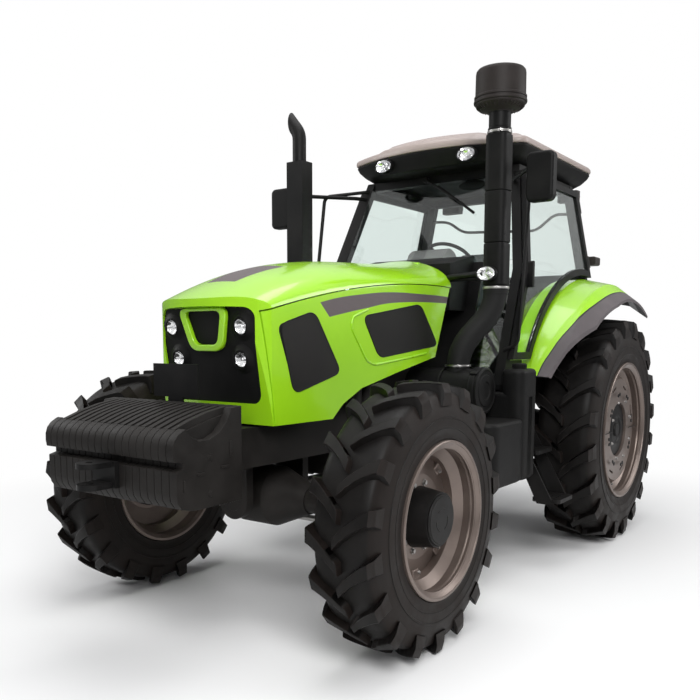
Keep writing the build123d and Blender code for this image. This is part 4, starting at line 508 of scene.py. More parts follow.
cab_glass = glass_finish("cab_tinted_glass", (0.87, 0.925, 0.905), 0.0, (0.88, 0.94, 0.92))
lamp_glass = glass_finish("lamp_clear_glass", (0.95, 0.95, 0.95), 0.02, (0.9, 0.9, 0.9))
print("glass ready")

# %% [markdown]
# ## Dressing the solids
# Every node of the frame gets the finish of the real piece. The table below reads like a paint list.

# %% Give each node its finish
paint_list = {
    "tyre_rubber": tyre_rubber, "rim_paint": rim_paint, "green_paint": green_paint, "black_paint": black_paint,
    "cast_grey": cast_iron, "black_plastic": black_plastic, "roof_plastic": roof_plastic,
    "grey_plastic": grey_plastic, "cab_glass": cab_glass, "lamp_glass": lamp_glass, "hose_rubber": hose_rubber,
    "seat_fabric": seat_cloth, "steel": bare_steel,
}
slot_of = {material.name: slot for slot, material in paint_list.items()}


def dress(node, material):
    """Puts one finish on a node of the frame."""
    slots = frame["nodes"][node].data.materials
    slots.clear()
    slots.append(material)


for subpart in frame["record"]["subparts"]:
    dress(subpart["node"], paint_list[subpart["material_slot"]])

special = {
    "hood": hood_paint, "hood_side_panels": hood_paint, "fender_flares": flare_finish, "fenders": fender_finish,
}
for node, finish in special.items():
    dress(node, finish)

# %% [markdown]
# ## Tools for new pieces
# A solid model carries the large forms, and a picture is won by the small ones: bolts, lamps, clamps, wipers. Most
# of them are turned on a lathe or cut from bar, so two small tools go a long way. One spins a profile about an axis,
# as a lathe does. The other stamps a finished form into a mesh at many places, as a press does with bolts.


# %% Helpers for new pieces
def centre_of(node):
    """The middle of a node's box."""
    low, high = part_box(node)
    return (low + high) / 2


def lathe(profile, steps, closed=False):
    """A form spun about z from points of (radius, height)."""
    form = bmesh.new()
    points = [form.verts.new((radius, 0, height)) for radius, height in profile]
    edges = [form.edges.new(pair) for pair in zip(points, points[1:])]
    if closed:
        edges.append(form.edges.new((points[-1], points[0])))
    bmesh.ops.spin(form, geom=points + edges, axis=(0, 0, 1), cent=(0, 0, 0), angle=math.tau, steps=steps,
                   use_merge=True)
    bmesh.ops.remove_doubles(form, verts=form.verts, dist=0.00002)
    return form


def stamp(target, form, places=(Matrix.Identity(4),)):
    """Copies a form into a mesh at each place, or as it stands, and lets the form go."""
    mesh = bpy.data.meshes.new("stamp")
    form.to_mesh(mesh)
    form.free()
    for place in places:
        start = len(target.verts)
        target.from_mesh(mesh)
        target.verts.ensure_lookup_table()
        bmesh.ops.transform(target, matrix=place, verts=target.verts[start:])
    bpy.data.meshes.remove(mesh)


def finished(name, shaping, material, body="chassis", slot=None, sharp=35):
    """Makes a mesh into a piece that rides on a body. Its slot argument is not used."""
    bmesh.ops.recalc_face_normals(shaping, faces=shaping.faces)
    mesh = bpy.data.meshes.new(name)
    shaping.to_mesh(mesh)
    shaping.free()
    mesh.materials.append(material)
    mesh.shade_smooth()
    mesh.set_sharp_from_angle(angle=math.radians(sharp))
    piece = bpy.data.objects.new(name, mesh)
    bpy.context.scene.collection.objects.link(piece)
    piece.modifiers.new("flat faces", "WEIGHTED_NORMAL").keep_sharp = True
    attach(piece, body)
    slot or slot_of[material.name]
    return piece


def soften(form, edges, width, segments, clamp=False):
    """Rounds edges off."""
    bmesh.ops.bevel(form, geom=edges, offset=width, offset_type="OFFSET", segments=segments, profile=0.5,
                    affect="EDGES", material=-1, clamp_overlap=clamp)


def pull(form, faces, way):
    """Draws faces out along a way."""
    drawn = bmesh.ops.extrude_face_region(form, geom=faces)["geom"]
    bmesh.ops.translate(form, vec=way, verts=[v for v in drawn if isinstance(v, bmesh.types.BMVert)])


def at(x, y, z):
    """A place."""
    return Matrix.Translation((x, y, z))


def pair(x, y, z):
    """A place on the right and the same one on the left."""
    return [at(x, -y, z), at(x, y, z)]


def turned(degrees, axis):
    """A turn about an axis."""
    return Matrix.Rotation(math.radians(degrees), 4, axis)


mirror_y = Matrix.Scale(-1, 4, (0, 1, 0))
facing_front = turned(90, "Y")
facing_back = turned(-90, "Y")
rear_x = centre_of("left_rear_wheel").x
front_x = centre_of("left_front_wheel").x
sides = {"left": Matrix.Identity(4), "right": mirror_y}
both_sides = list(sides.values())
print("axles at", round(rear_x, 4), round(front_x, 4))

# %% [markdown]
# ## Tyres
# A farm tyre is a casing with two rows of slanting lugs, set half a step apart. In the solids the lugs are plain
# wedges. Here each lug is drawn out of one small face, station by station, from the middle of the tread to the
# shoulder, with its edges rounded as moulded rubber is, and stamped round a casing whose sidewall carries the ribs
# that show where the bead sits. One wheel is made and the other side is its mirror, so both pull the same way.

# %% Tyre casing and lugs
bead_seat = 0.026
lip_gap = 0.014


def tyre_casing(radius, width, rim, rim_width, lug_height):
    """The casing, spun from a closed profile with ribs on its sidewalls."""
    bead = rim_width / 2 - lip_gap
    foot = rim + 0.004
    carcass = radius - lug_height
    shoulder = carcass - 0.035 * radius
    start, end = Vector((foot + 0.014, bead)), Vector((shoulder, 0.42 * width))
    middle = Vector(((foot + shoulder) / 2, width / 2))
    pull = 2 * middle - (start + end) / 2

    def wall(share, proud=0.0):
        """A point of the sidewall's curve, from the bead to the shoulder."""
        point = start * (1 - share) ** 2 + pull * 2 * share * (1 - share) + end * share ** 2
        return point.x, point.y + proud

    half = [
        (rim - bead_seat, bead), (foot - 0.002, bead), (foot + 0.002, bead + 0.005), (foot + 0.009, bead + 0.005),
        wall(0.03), wall(0.12), wall(0.2), wall(0.21, 0.0022), wall(0.225, 0.0022), wall(0.235), wall(0.35), wall(0.45),
        wall(0.46, 0.003), wall(0.5, 0.0035), wall(0.51), wall(0.62), wall(0.74), wall(0.87), wall(1.0),
        (carcass - 0.008, 0.37 * width), (carcass, 0.28 * width),
    ]
    other = [(r, -h) for r, h in reversed(half)]
    return lathe(half + other, 120, closed=True)


def tyre_lug(radius, width, rim, lug_height, lug_width):
    """One lug of the outer row, drawn along its slant and rounded."""
    carcass = radius - lug_height
    shoulder = carcass - 0.035 * radius
    root = ((rim + 0.004 + shoulder) / 2 + shoulder) / 2
    half = lug_width / 2
    stations = [
        (-0.03, -0.015, 0.95, radius), (0.08, 0.10, 1.0, radius - 0.001), (0.2, 0.205, 1.08, radius - 0.004),
        (0.31, 0.285, 1.16, radius - 0.006), (0.41, 0.345, 1.24, radius - 0.009),
        (0.462, 0.365, 1.3, radius - 0.012), (0.497, 0.38, 1.34, shoulder + 0.006),
    ]
    form = bmesh.new()

    def place(points, across, along, spread, top):
        """Sets the four corners of the lug's section at a station: wide at the root and narrow at the top."""
        corners = ((-1, root, 1.3), (1, root, 1.3), (1, top, 0.86), (-1, top, 0.86))
        for point, (side, height, flare) in zip(points, corners):
            angle = (along * width + side * half * spread * flare) / radius
            point.co = (height * math.cos(angle), -height * math.sin(angle), across * width)

    ring = [form.verts.new() for corner in range(4)]
    place(ring, *stations[0])
    face = form.faces.new(ring)
    for station in stations[1:]:
        drawn = bmesh.ops.extrude_face_region(form, geom=[face])
        face = [item for item in drawn["geom"] if isinstance(item, bmesh.types.BMFace)][0]
        place([loop.vert for loop in face.loops], *station)
    high = (root + carcass) / 2
    edges = [e for e in form.edges if all(v.co.xy.length > high for v in e.verts) and e.calc_face_angle(0) > 0.5]
    soften(form, edges, 0.006, 2, clamp=True)
    return form


def tyre(radius, width, rim, rim_width, count, lug_height, lug_width):
    """A whole tyre about z."""
    whole = tyre_casing(radius, width, rim, rim_width, lug_height)
    step = 360 / count
    lug = tyre_lug(radius, width, rim, lug_height, lug_width)
    flip = Matrix.Scale(-1, 4, (0, 0, 1))
    stamp(whole, lug.copy(), [turned(step * k, "Z") for k in range(count)])
    stamp(whole, lug, [turned(step * (k + 0.5), "Z") @ flip for k in range(count)])
    return whole


def wheel_place(node):
    """Where a left wheel's own axis z lies along y."""
    return Matrix.Translation(centre_of(node)) @ turned(-90, "X")


tyre_sizes = {
    "front": (0.660, 0.345, 0.383, 0.356, 18, 0.038, 0.064),
    "rear": (0.830, 0.430, 0.507, 0.412, 20, 0.044, 0.074),
}
for end, sizes in tyre_sizes.items():
    made = tyre(*sizes)
    for side, flip in sides.items():
        shaping = bmesh.new()
        stamp(shaping, made.copy(), [flip @ wheel_place(f"left_{end}_wheel")])
        piece = finished(f"{side}_{end}_lugged_tyre", shaping, tyre_rubber, f"{side}_{end}_wheel", sharp=42)
        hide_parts(f"{side}_{end}_tyre")
        print(piece.name, len(piece.data.polygons), "faces")
    made.free()

# %% [markdown]
# ## Wheel fasteners
# The front discs are held by ten nuts round the planetary hub, and the rim carries brackets that the disc is bolted
# to. The rear disc is split in two halves and shows pairs of bolts. A bolt is a six-sided head with a chamfer on a
# washer, and one form serves all of them at different scales.


# %% Bolts on the wheels
def bolt_form(size):
    """A hexagon head on a washer, standing on z = 0."""
    form = bmesh.new()
    bmesh.ops.create_cone(form, segments=16, cap_ends=True, radius1=0.95 * size, radius2=0.9 * size, depth=0.22 * size,
                          matrix=at(0, 0, 0.11 * size))
    head = bmesh.ops.create_cone(form, segments=6, cap_ends=True, radius1=0.72 * size, radius2=0.72 * size,
                                 depth=0.62 * size, matrix=at(0, 0, 0.5 * size))
    top = [e for v in head["verts"] for e in v.link_edges if all(w.co.z > 0.7 * size for w in e.verts)]
    soften(form, list(set(top)), 0.1 * size, 2)
    return form


def ring_of(count, radius, height, start=0.0):
    """Places round the z axis."""
    return [turned(start + 360 / count * k, "Z") @ at(radius, 0, height) for k in range(count)]


def bracket_form():
    """A pressed bracket between rim and disc, with its foot on z = 0."""
    form = bmesh.new()
    bmesh.ops.create_cube(form, size=1, matrix=at(0, 0, 0.013) @ Matrix.Diagonal((0.05, 0.07, 0.026, 1)))
    tip = [v for v in form.verts if v.co.x < 0 and v.co.z > 0.01]
    bmesh.ops.scale(form, vec=(1, 0.65, 0.55), verts=tip)
    soften(form, form.edges[:], 0.005, 2)
    return form


bolt_rings = {
    "front": [(0.017, ring_of(10, 0.168, 0.030)), (0.011, ring_of(8, 0.276, 0.036))],
    "rear": [
        (0.013, ring_of(8, 0.225, 0.170, 22)),
        (0.012, ring_of(8, 0.420, 0.120)),
    ],
}
for end, rings in bolt_rings.items():
    for side, flip in sides.items():
        shaping = bmesh.new()
        home = flip @ wheel_place(f"left_{end}_wheel")
        for size, places in rings:
            stamp(shaping, bolt_form(size), [home @ place for place in places])
        finished(f"{side}_{end}_wheel_bolts", shaping, bare_steel, f"{side}_{end}_wheel")
        shaping = bmesh.new()
        radius, height = (0.290, 0.006) if end == "front" else (0.435, 0.084)
        stamp(shaping, bracket_form(), [home @ place for place in ring_of(8, radius, height)])
        finished(f"{side}_{end}_rim_brackets", shaping, rim_paint, f"{side}_{end}_wheel")
print("wheel fasteners", {end: sum(len(places) for size, places in rings) for end, rings in bolt_rings.items()})

# %% [markdown]
# ## Lamps
# A headlamp is a bright bowl behind a clear cover with a black ring round it. The bowl is a lathe form with a small
# bulb in its middle, and the cover is a shallow dome, so that the lamp catches light from every side. The four
# headlamps stand on the sloping grille, two work lamps in the roof's fascia and four at its rear, and the turn lamps
# on their arms are ovals, which are round lamps stretched sideways.

# %% Lamp finishes
chrome, tree, shader = new_material("lamp_reflector")
waves = noise_of(tree, Scale=120.0, Detail=2.0)
tone = mix_colour(tree, waves, (0.82, 0.82, 0.83), (0.93, 0.93, 0.94))
feed(tree, shader, Base_Color=tone, Metallic=1.0, Roughness=0.12, Normal=bumped(tree, waves, 0.25, 0.001))
amber_glass = glass_finish("amber_lens", (0.95, 0.42, 0.10), 0.05, (0.9, 0.5, 0.2))
red_glass = glass_finish("red_lens", (0.75, 0.03, 0.02), 0.05, (0.7, 0.1, 0.08))


# %% Lamp forms
bowl_line = [(0, 0.10), (0.30, 0.12), (0.55, 0.28), (0.78, 0.55), (0.90, 0.82), (0.93, 0.82), (0.80, 0.45),
             (0.50, 0.10), (0.20, 0.02), (0, 0.02)]
bulb_line = [(0.20, 0.13), (0.20, 0.42), (0.14, 0.55), (0, 0.60)]
cover_line = [(0, 0.97), (0.4, 0.955), (0.75, 0.91), (0.92, 0.85), (0.92, 0.83), (0.72, 0.88), (0.4, 0.92), (0, 0.935)]
ring_line = [(0.90, 0.80), (0.93, 0.96), (0.99, 0.98), (1.04, 0.86), (1.05, 0.1), (0.98, 0.1)]


def sized(line, radius, depth):
    """A profile drawn in shares of a radius and a depth, at its real size."""
    return [(share * radius, height * depth) for share, height in line]


def lamp_bowl(radius, depth):
    """A bowl with a bulb in it, opening towards z."""
    form = lathe(sized(bowl_line, radius, depth), 40)
    stamp(form, lathe(sized(bulb_line, radius, depth), 20))
    return form


def lamp_cover(radius, depth):
    """A thin dome over the bowl."""
    return lathe(sized(cover_line, radius, depth), 40)


def lamp_ring(radius, depth):
    """The ring that holds the cover."""
    return lathe(sized(ring_line, radius, depth), 40, closed=True)


grille_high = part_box("grille")[1]
nose_slope = 0.1568
nose_lean = math.degrees(math.atan(nose_slope))


def nose_place(y, z):
    """A place on the sloping grille, facing out of it."""
    x = grille_high.x - nose_slope * (grille_high.z - z)
    return at(x, y, z) @ turned(90 + nose_lean, "Y")


head_places = [nose_place(s * y, z) for s in (-1, 1) for y, z in ((0.240, 1.575), (0.218, 1.416))]
roof_stretch = facing_front @ Matrix.Diagonal((0.95, 1.45, 1, 1))
turn_stretch = facing_front @ Matrix.Diagonal((0.88, 1.28, 1, 1))
rear_places = [place for y in (0.48, 0.56) for place in pair(-1.8465, y, 2.65)]
lamp_sets = {
    "headlamp": (0.040, 0.020, head_places, "hood_lid"),
    "roof_lamp": (0.050, 0.042, [p @ roof_stretch for p in pair(rear_x + 1.0665, 0.329, 2.752)], "chassis"),
    "turn_lamp": (0.050, 0.030, [p @ turn_stretch for p in pair(0.100, 0.728, 1.908)], "chassis"),
    "rear_work_lamp": (0.034, 0.016, [p @ facing_back for p in rear_places], "chassis"),
}
lamp_parts = {
    "bowls": (lamp_bowl, chrome, "steel"), "covers": (lamp_cover, lamp_glass, "lamp_glass"),
    "rings": (lamp_ring, black_plastic, "black_plastic"),
}
for name, (radius, depth, places, body) in lamp_sets.items():
    for part, (form, material, slot) in lamp_parts.items():
        shaping = bmesh.new()
        stamp(shaping, form(radius, depth), places)
        finished(f"{name}_{part}", shaping, material, body, slot)
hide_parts("headlamps")
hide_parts("work_lamps")
print("lamps", {name: len(values[2]) for name, values in lamp_sets.items()})

# %% [markdown]
# ## Tools for bent and cut metal
# Two more tools serve the rest of the tractor. A tube follows a line of points, for rails, arms and hoops. A plate is
# an outline with rounded corners that is given a thickness and broken edges, as a flame-cut and ground plate has.


# %% Helpers for tubes and plates
def rounded(points, radius, steps=5):
    """An outline whose corners are turned into arcs."""
    outline = []
    for index, point in enumerate(points):
        here, before, after = Vector(point), Vector(points[index - 1]), Vector(points[(index + 1) % len(points)])
        reach = min(radius, 0.45 * (before - here).length, 0.45 * (after - here).length)
        start, end = here + (before - here).normalized() * reach, here + (after - here).normalized() * reach
        for step in range(steps + 1):
            share = step / steps
            outline.append(start * (1 - share) ** 2 + here * 2 * share * (1 - share) + end * share ** 2)
    return outline


def smooth_path(points, radius, steps=5):
    """An open line of points whose bends are arcs."""
    middle = rounded(points, radius, steps)[steps + 1:-(steps + 1)]
    return [Vector(points[0])] + middle + [Vector(points[-1])]


def tube(path, radius, steps=12):
    """A round bar along a line of points."""
    form = bmesh.new()
    loops = []
    for index, point in enumerate(path):
        ahead = path[min(index + 1, len(path) - 1)] - path[max(index - 1, 0)]
        turn = ahead.to_track_quat("Z", "Y").to_matrix().to_4x4()
        made = bmesh.ops.create_circle(form, segments=steps, radius=radius, matrix=Matrix.Translation(point) @ turn)
        loops.append(list({edge for vert in made["verts"] for edge in vert.link_edges}))
    for first, second in zip(loops, loops[1:]):
        bmesh.ops.bridge_loops(form, edges=first + second)
    bmesh.ops.holes_fill(form, edges=loops[0] + loops[-1])
    return form


def plate(outline, thickness, edge=0.003, segments=2):
    """A plate cut to an outline of (x, z), centred on y = 0."""
    form = bmesh.new()
    face = form.faces.new([form.verts.new((x, -thickness / 2, z)) for x, z in outline])
    pull(form, [face], (0, thickness, 0))
    bmesh.ops.recalc_face_normals(form, faces=form.faces)
    if edge:
        rim = [e for e in form.edges if e.calc_face_angle(0) > 0.9]
        soften(form, rim, edge, segments, clamp=True)
    return form


def block(size, edge, segments=3):
    """A box with rounded edges, centred on the origin."""
    form = bmesh.new()
    bmesh.ops.create_cube(form, size=1, matrix=Matrix.Diagonal((*size, 1)))
    soften(form, form.edges[:], edge, segments)
    return form


def band(radius, width, thickness):
    """A clamp band round z with a raised rib in its middle."""
    return lathe([
        (radius, -width / 2), (radius + thickness, -width / 2), (radius + thickness, -width / 6),
        (radius + 1.5 * thickness, 0), (radius + thickness, width / 6), (radius + thickness, width / 2),
        (radius, width / 2),
    ], 40, closed=True)


print("tubes and plates ready")

# %% [markdown]
# ## Front weights
# The weights are nineteen cast plates hung side by side on the carrier. Each has a rounded brow, a slot across its
# front where the tow clevis sits, and a waist at the top, so that a hand can get in between two plates: these waists
# are the dark grooves that show on top. A plate is drawn once as an outline and stamped along the row. The outermost
# plates also have a half-moon cut out of the top and a boss for the rod that ties the row together.

# %% Cast plates in a row
weight_low, weight_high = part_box("front_weights")
plate_count = 19
pitch = (weight_high.y - weight_low.y) / plate_count
nose = weight_high.x
back = nose - weight_low.x - 0.0005


def behind_nose(*points):
    """Points of (distance behind the nose, height) as an outline of (x, z)."""
    return [(nose - distance, height) for distance, height in points]


foot_face = behind_nose(
    (back, 0.787), (0.11, 0.787), (0.045, 0.803), (0.022, 0.835), (0.0165, 0.87), (0.0165, 0.966), (0.055, 0.976),
    (0.055, 1.000), (0.006, 1.008), (0.001, 1.035), (0.002, 1.068), (0.012, 1.098), (0.032, 1.120), (0.062, 1.137),
)
crown = behind_nose((0.155, 1.169), (0.255, 1.195), (0.355, 1.211), (back, 1.2165))
waist = behind_nose((0.072, 1.112), (0.165, 1.140), (0.265, 1.164), (0.362, 1.182), (0.372, 1.212))
moon = behind_nose(
    (0.075, 1.141), (0.10, 1.108), (0.15, 1.084), (0.21, 1.084), (0.27, 1.108), (0.32, 1.155), (0.35, 1.211),
)
shaping = bmesh.new()
rows = [weight_low.y + pitch * (k + 0.5) for k in range(plate_count)]
stamp(shaping, plate(foot_face + waist + crown[-1:], pitch - 0.0025, 0.0025), [at(0, y, 0) for y in rows[1:-1]])
stamp(shaping, plate(foot_face[-1:] + crown + waist[::-1], 0.6 * pitch, 0.002), [at(0, y, 0) for y in rows[1:-1]])
end_places = [at(0, rows[0] + 0.0005, 0), at(0, rows[-1] - 0.0005, 0)]
stamp(shaping, plate(foot_face + moon + crown[-1:], pitch - 0.003, 0.003), end_places)
boss = [(0, 0.004), (0.011, 0.004), (0.012, 0.001), (0.017, 0.001), (0.019, -0.004)]
for x, z in behind_nose((0.215, 1.005), (0.215, 0.845)):
    stamp(shaping, lathe(boss, 24), [at(x, s * (weight_high.y - 0.001), z) @ turned(-90 * s, "X") for s in (-1, 1)])
marks = {(0.30, 0.955): (0.05, 0.012), (0.155, 0.94): (0.045, 0.012), (0.34, 1.03): (0.016, 0.07),
         (0.06, 0.90): (0.012, 0.05)}
for (x, z), (wide, high) in zip(behind_nose(*marks), marks.values()):
    stamp(shaping, block((wide, 0.008, high), 0.0025, 2), pair(x, weight_high.y - 0.0005, z))
weights = finished("weight_plates", shaping, cast_iron, sharp=30)
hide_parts("front_weights")
print("weight plates", len(rows), "faces", len(weights.data.polygons))

# %% [markdown]
# ## Nose frame and lamp rims
# The green frame on the grille is a deep moulding with round lower corners. It is the outline of a shield, made into
# a ring of two outlines, one inside the other, pulled forward and rounded at its edges. Each headlamp sits in a dark
# cone that leads into the grille.

# %% Frame on the grille
frame_low, frame_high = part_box("nose_frame")
shield = [(-0.170, 0.112), (-0.110, -0.104), (0.110, -0.104), (0.170, 0.112)]
inner_shield = [(-0.126, 0.096), (-0.077, -0.072), (0.077, -0.072), (0.126, 0.096)]


def shield_ring():
    """The frame as a flat ring of faces, pulled out along z and rounded."""
    form = bmesh.new()
    rings = []
    for outline, radius in ((shield, 0.055), (inner_shield, 0.040)):
        verts = [form.verts.new((-v, u, 0)) for u, v in rounded(outline, radius, 7)]
        rings.append([form.edges.new(pair) for pair in zip(verts, verts[1:] + verts[:1])])
    faces = bmesh.ops.bridge_loops(form, edges=rings[0] + rings[1])["faces"]
    pull(form, faces, (0, 0, 0.028))
    bmesh.ops.recalc_face_normals(form, faces=form.faces)
    rim = [e for e in form.edges if e.calc_face_angle(0) > 0.9]
    soften(form, rim, 0.007, 3, clamp=True)
    return form


shaping = bmesh.new()
stamp(shaping, shield_ring(), [nose_place(0, (frame_low.z + frame_high.z) / 2)])
shield_piece = finished("nose_shield", shaping, green_paint, "hood_lid", sharp=50)
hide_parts("nose_frame")
shaping = bmesh.new()
cone = [(0.042, 0.016), (0.046, 0.0175), (0.052, 0.012), (0.066, 0.0035), (0.074, 0.0005), (0.074, -0.002),
        (0.042, -0.002)]
stamp(shaping, lathe(cone, 40, closed=True), head_places)
finished("headlamp_cones", shaping, black_plastic, "hood_lid")
print("nose frame and lamp cones")

# %% [markdown]
# ## Hub caps
# The front hub is a planetary drive with a round cover: a rim, a raised ring and three curved ribs. The rear disc has
# a dark hub well in its middle with the axle's end in it, and a parting line where its two halves meet.

# %% Hub covers and wells
arc = [math.radians(degrees) for degrees in range(0, 71, 7)]
arc_rib = tube([Vector((0.055 * math.cos(angle), 0.055 * math.sin(angle), 0)) for angle in arc], 0.006, 8)
hub_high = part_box("left_front_hub")[1]
cap_ring = [(0.068, -0.003), (0.070, 0.003), (0.082, 0.004), (0.085, -0.003)]
rim_ring = [(0.104, -0.003), (0.106, 0.002), (0.121, 0.001), (0.124, -0.003)]
dome = [(0, 0.003), (0.02, 0.0028), (0.024, -0.002)]
hub_face = at(front_x, hub_high.y - 0.004, centre_of("left_front_hub").z) @ turned(-90, "X")
for side, flip in sides.items():
    shaping = bmesh.new()
    for ring in (cap_ring, rim_ring):
        stamp(shaping, lathe(ring, 48, closed=True), [flip @ hub_face])
    stamp(shaping, lathe(dome, 24), [flip @ hub_face])
    stamp(shaping, arc_rib.copy(), [flip @ hub_face @ turned(120 * k, "Z") for k in range(3)])
    finished(f"{side}_front_hub_cover", shaping, black_paint, f"{side}_front_wheel")
arc_rib.free()
well = [(0, 0.012), (0.045, 0.012), (0.050, 0.006), (0.052, -0.003), (0.088, -0.004), (0.10, 0.006), (0.126, 0.008),
        (0.142, 0.0), (0.196, -0.002), (0.199, -0.006), (0.199, -0.010), (0, -0.010)]
plug = [(0, 0.002), (0.011, 0.002), (0.013, 0), (0.013, -0.004)]
for side, flip in sides.items():
    shaping = bmesh.new()
    home = flip @ wheel_place("left_rear_wheel")
    stamp(shaping, lathe(well, 48), [home @ at(0, 0, 0.134)])
    stamp(shaping, block((0.20, 0.006, 0.006), 0.002, 2), [home @ at(s * 0.29, 0, 0.170) for s in (-1, 1)])
    for ring in (ring_of(8, 0.275, 0.170, 10), ring_of(8, 0.275, 0.170, 18)):
        stamp(shaping, lathe(plug, 16), [home @ place for place in ring])
    finished(f"{side}_rear_hub_well", shaping, black_paint, f"{side}_rear_wheel")
print("hub covers")

# %% [markdown]
# ## Clamps and the air intake
# The rubber hose is held by bright band clamps, the pre-cleaner sits on a clamped neck, and the air cleaner's lid is
# held by a ring with clips. A clamp is a thin band with a rib and a screw housing at one side.

# %% Clamps
stack_x, stack_y = rear_x + 1.475, 0.745
clamp_places = [
    (0.0715, at(stack_x, stack_y, 2.752)), (0.0790, at(0.1435, 0.561, 1.347)), (0.0790, at(stack_x, stack_y, 1.826)),
]
shaping = bmesh.new()
for radius, place in clamp_places:
    stamp(shaping, band(radius, 0.014, 0.0022), [place])
    stamp(shaping, block((0.022, 0.012, 0.016), 0.003, 2), [place @ turned(28, "Z") @ at(radius + 0.005, 0, 0)])
finished("hose_clamps", shaping, bare_steel)
cleaner_low, cleaner_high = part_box("air_cleaner")
cleaner = centre_of("air_cleaner")
cleaner_radius = (cleaner_high.z - cleaner_low.z) / 2
shaping = bmesh.new()
lid = [(0.97, -0.012), (0.995, -0.008), (0.995, 0.004), (0.90, 0.0075), (0.86, 0.003), (0.70, 0.003), (0.66, 0.0085),
       (0.40, 0.0095), (0.36, 0.004), (0, 0.004), (0, -0.012)]
outer_end = at(cleaner.x, cleaner_high.y, cleaner.z) @ turned(-90, "X")
stamp(shaping, lathe(sized(lid, cleaner_radius, 1), 56), [outer_end])
stamp(shaping, band(cleaner_radius - 0.001, 0.020, 0.0025), [outer_end @ at(0, 0, z) for z in (-0.05, -0.26)])
clips = [outer_end @ place for place in ring_of(4, cleaner_radius + 0.004, -0.03, 40)]
stamp(shaping, block((0.016, 0.030, 0.05), 0.005, 2), clips)
finished("air_cleaner_lid", shaping, black_plastic)
print("clamps", len(clamp_places))

# %% [markdown]
# ## Seat
# The driver's seat is a sewn cushion and a back on a bellows pedestal with two armrests. The cushions are foam in
# cloth, so they are blown up by a cloth simulation: a box a little smaller than the cushion is remeshed evenly, given
# inner pressure for twenty frames, and held back where it would swell too far. The seams are pressed in afterwards,
# because an even mesh would swallow them.


# %% Cushions by cloth simulation
def cushion(name, size, place, limit, channels):
    """A pillow blown up from a box, with sewn channels across it."""
    form = block(size, 0.03, 3)
    mesh = bpy.data.meshes.new(name)
    form.to_mesh(mesh)
    form.free()
    pad = bpy.data.objects.new(name, mesh)
    bpy.context.scene.collection.objects.link(pad)
    even = pad.modifiers.new("even", "REMESH")
    even.mode = "VOXEL"
    even.voxel_size = 0.014
    graph = bpy.context.evaluated_depsgraph_get()
    pad.data = bpy.data.meshes.new_from_object(pad.evaluated_get(graph))
    pad.modifiers.clear()
    before = [v.co.copy() for v in pad.data.vertices]
    cloth = pad.modifiers.new("cloth", "CLOTH")
    cloth.settings.use_pressure = True
    cloth.settings.uniform_pressure_force = 4
    cloth.settings.effector_weights.gravity = 0
    cloth.point_cache.frame_start, cloth.point_cache.frame_end = 1, 20
    for frame_number in range(1, 21):
        bpy.context.scene.frame_set(frame_number)
    graph = bpy.context.evaluated_depsgraph_get()
    blown = bpy.data.meshes.new_from_object(pad.evaluated_get(graph))
    pad.modifiers.clear()
    pad.data = blown
    bpy.context.scene.frame_set(1)
    for vertex, start in zip(pad.data.vertices, before):
        move = vertex.co - start
        if move.length > limit:
            vertex.co = start + move * (limit / move.length)
        for across in channels:
            near = max(0.0, 1 - abs(vertex.co.x - across) / 0.016)
            vertex.co.z -= 0.012 * near ** 2 * (1 if vertex.co.z > 0 else 0)
    pad.data.transform(place)
    pad.data.materials.clear()
    pad.data.materials.append(seat_cloth)
    pad.data.shade_smooth()
    rounder = pad.modifiers.new("rounder", "SUBSURF")
    rounder.levels = rounder.render_levels = 1
    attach(pad, "chassis")
    return pad


lean = math.degrees(math.atan2(0.11, 0.565))
swell = 0.016
seat_pad = cushion("seat_cushion", (0.44, 0.45, 0.085), at(rear_x + 0.34, 0, 1.695), swell, (-0.11, 0.02, 0.13))
back_place = at(rear_x + 0.135, 0, 1.975) @ turned(-90 - lean, "Y") @ turned(180, "Z")
back_pad = cushion("seat_back", (0.47, 0.43, 0.075), back_place, swell, (-0.14, 0.0, 0.13))
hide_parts("seat")
print("cushions", [len(pad.data.vertices) for pad in (seat_pad, back_pad)])

# %% Seat frame and pedestal
shaping = bmesh.new()
folds = [(0.10, 1.222), (0.165, 1.225)]
for k in range(6):
    folds += [(0.165, 1.24 + 0.055 * k), (0.14, 1.265 + 0.055 * k)]
folds += [(0.165, 1.575), (0.165, 1.60), (0.10, 1.602)]
stamp(shaping, lathe(folds, 40, closed=True), [at(rear_x + 0.33, 0, 0)])
stamp(shaping, block((0.42, 0.42, 0.04), 0.012), [at(rear_x + 0.33, 0, 1.625)])
stamp(shaping, block((0.30, 0.05, 0.045), 0.018), pair(rear_x + 0.30, 0.225, 1.90))
stamp(shaping, block((0.04, 0.02, 0.24), 0.008, 2), pair(rear_x + 0.19, 0.225, 1.79))
finished("seat_frame", shaping, black_plastic)
print("seat frame")

# %% [markdown]
# ## Inside the cab
# Through the windscreen one sees a steering wheel with three spokes, an instrument pod on the console, a grab rail
# bent across the rear window and a mirror under the roof. All of these are small mouldings and bent bars.

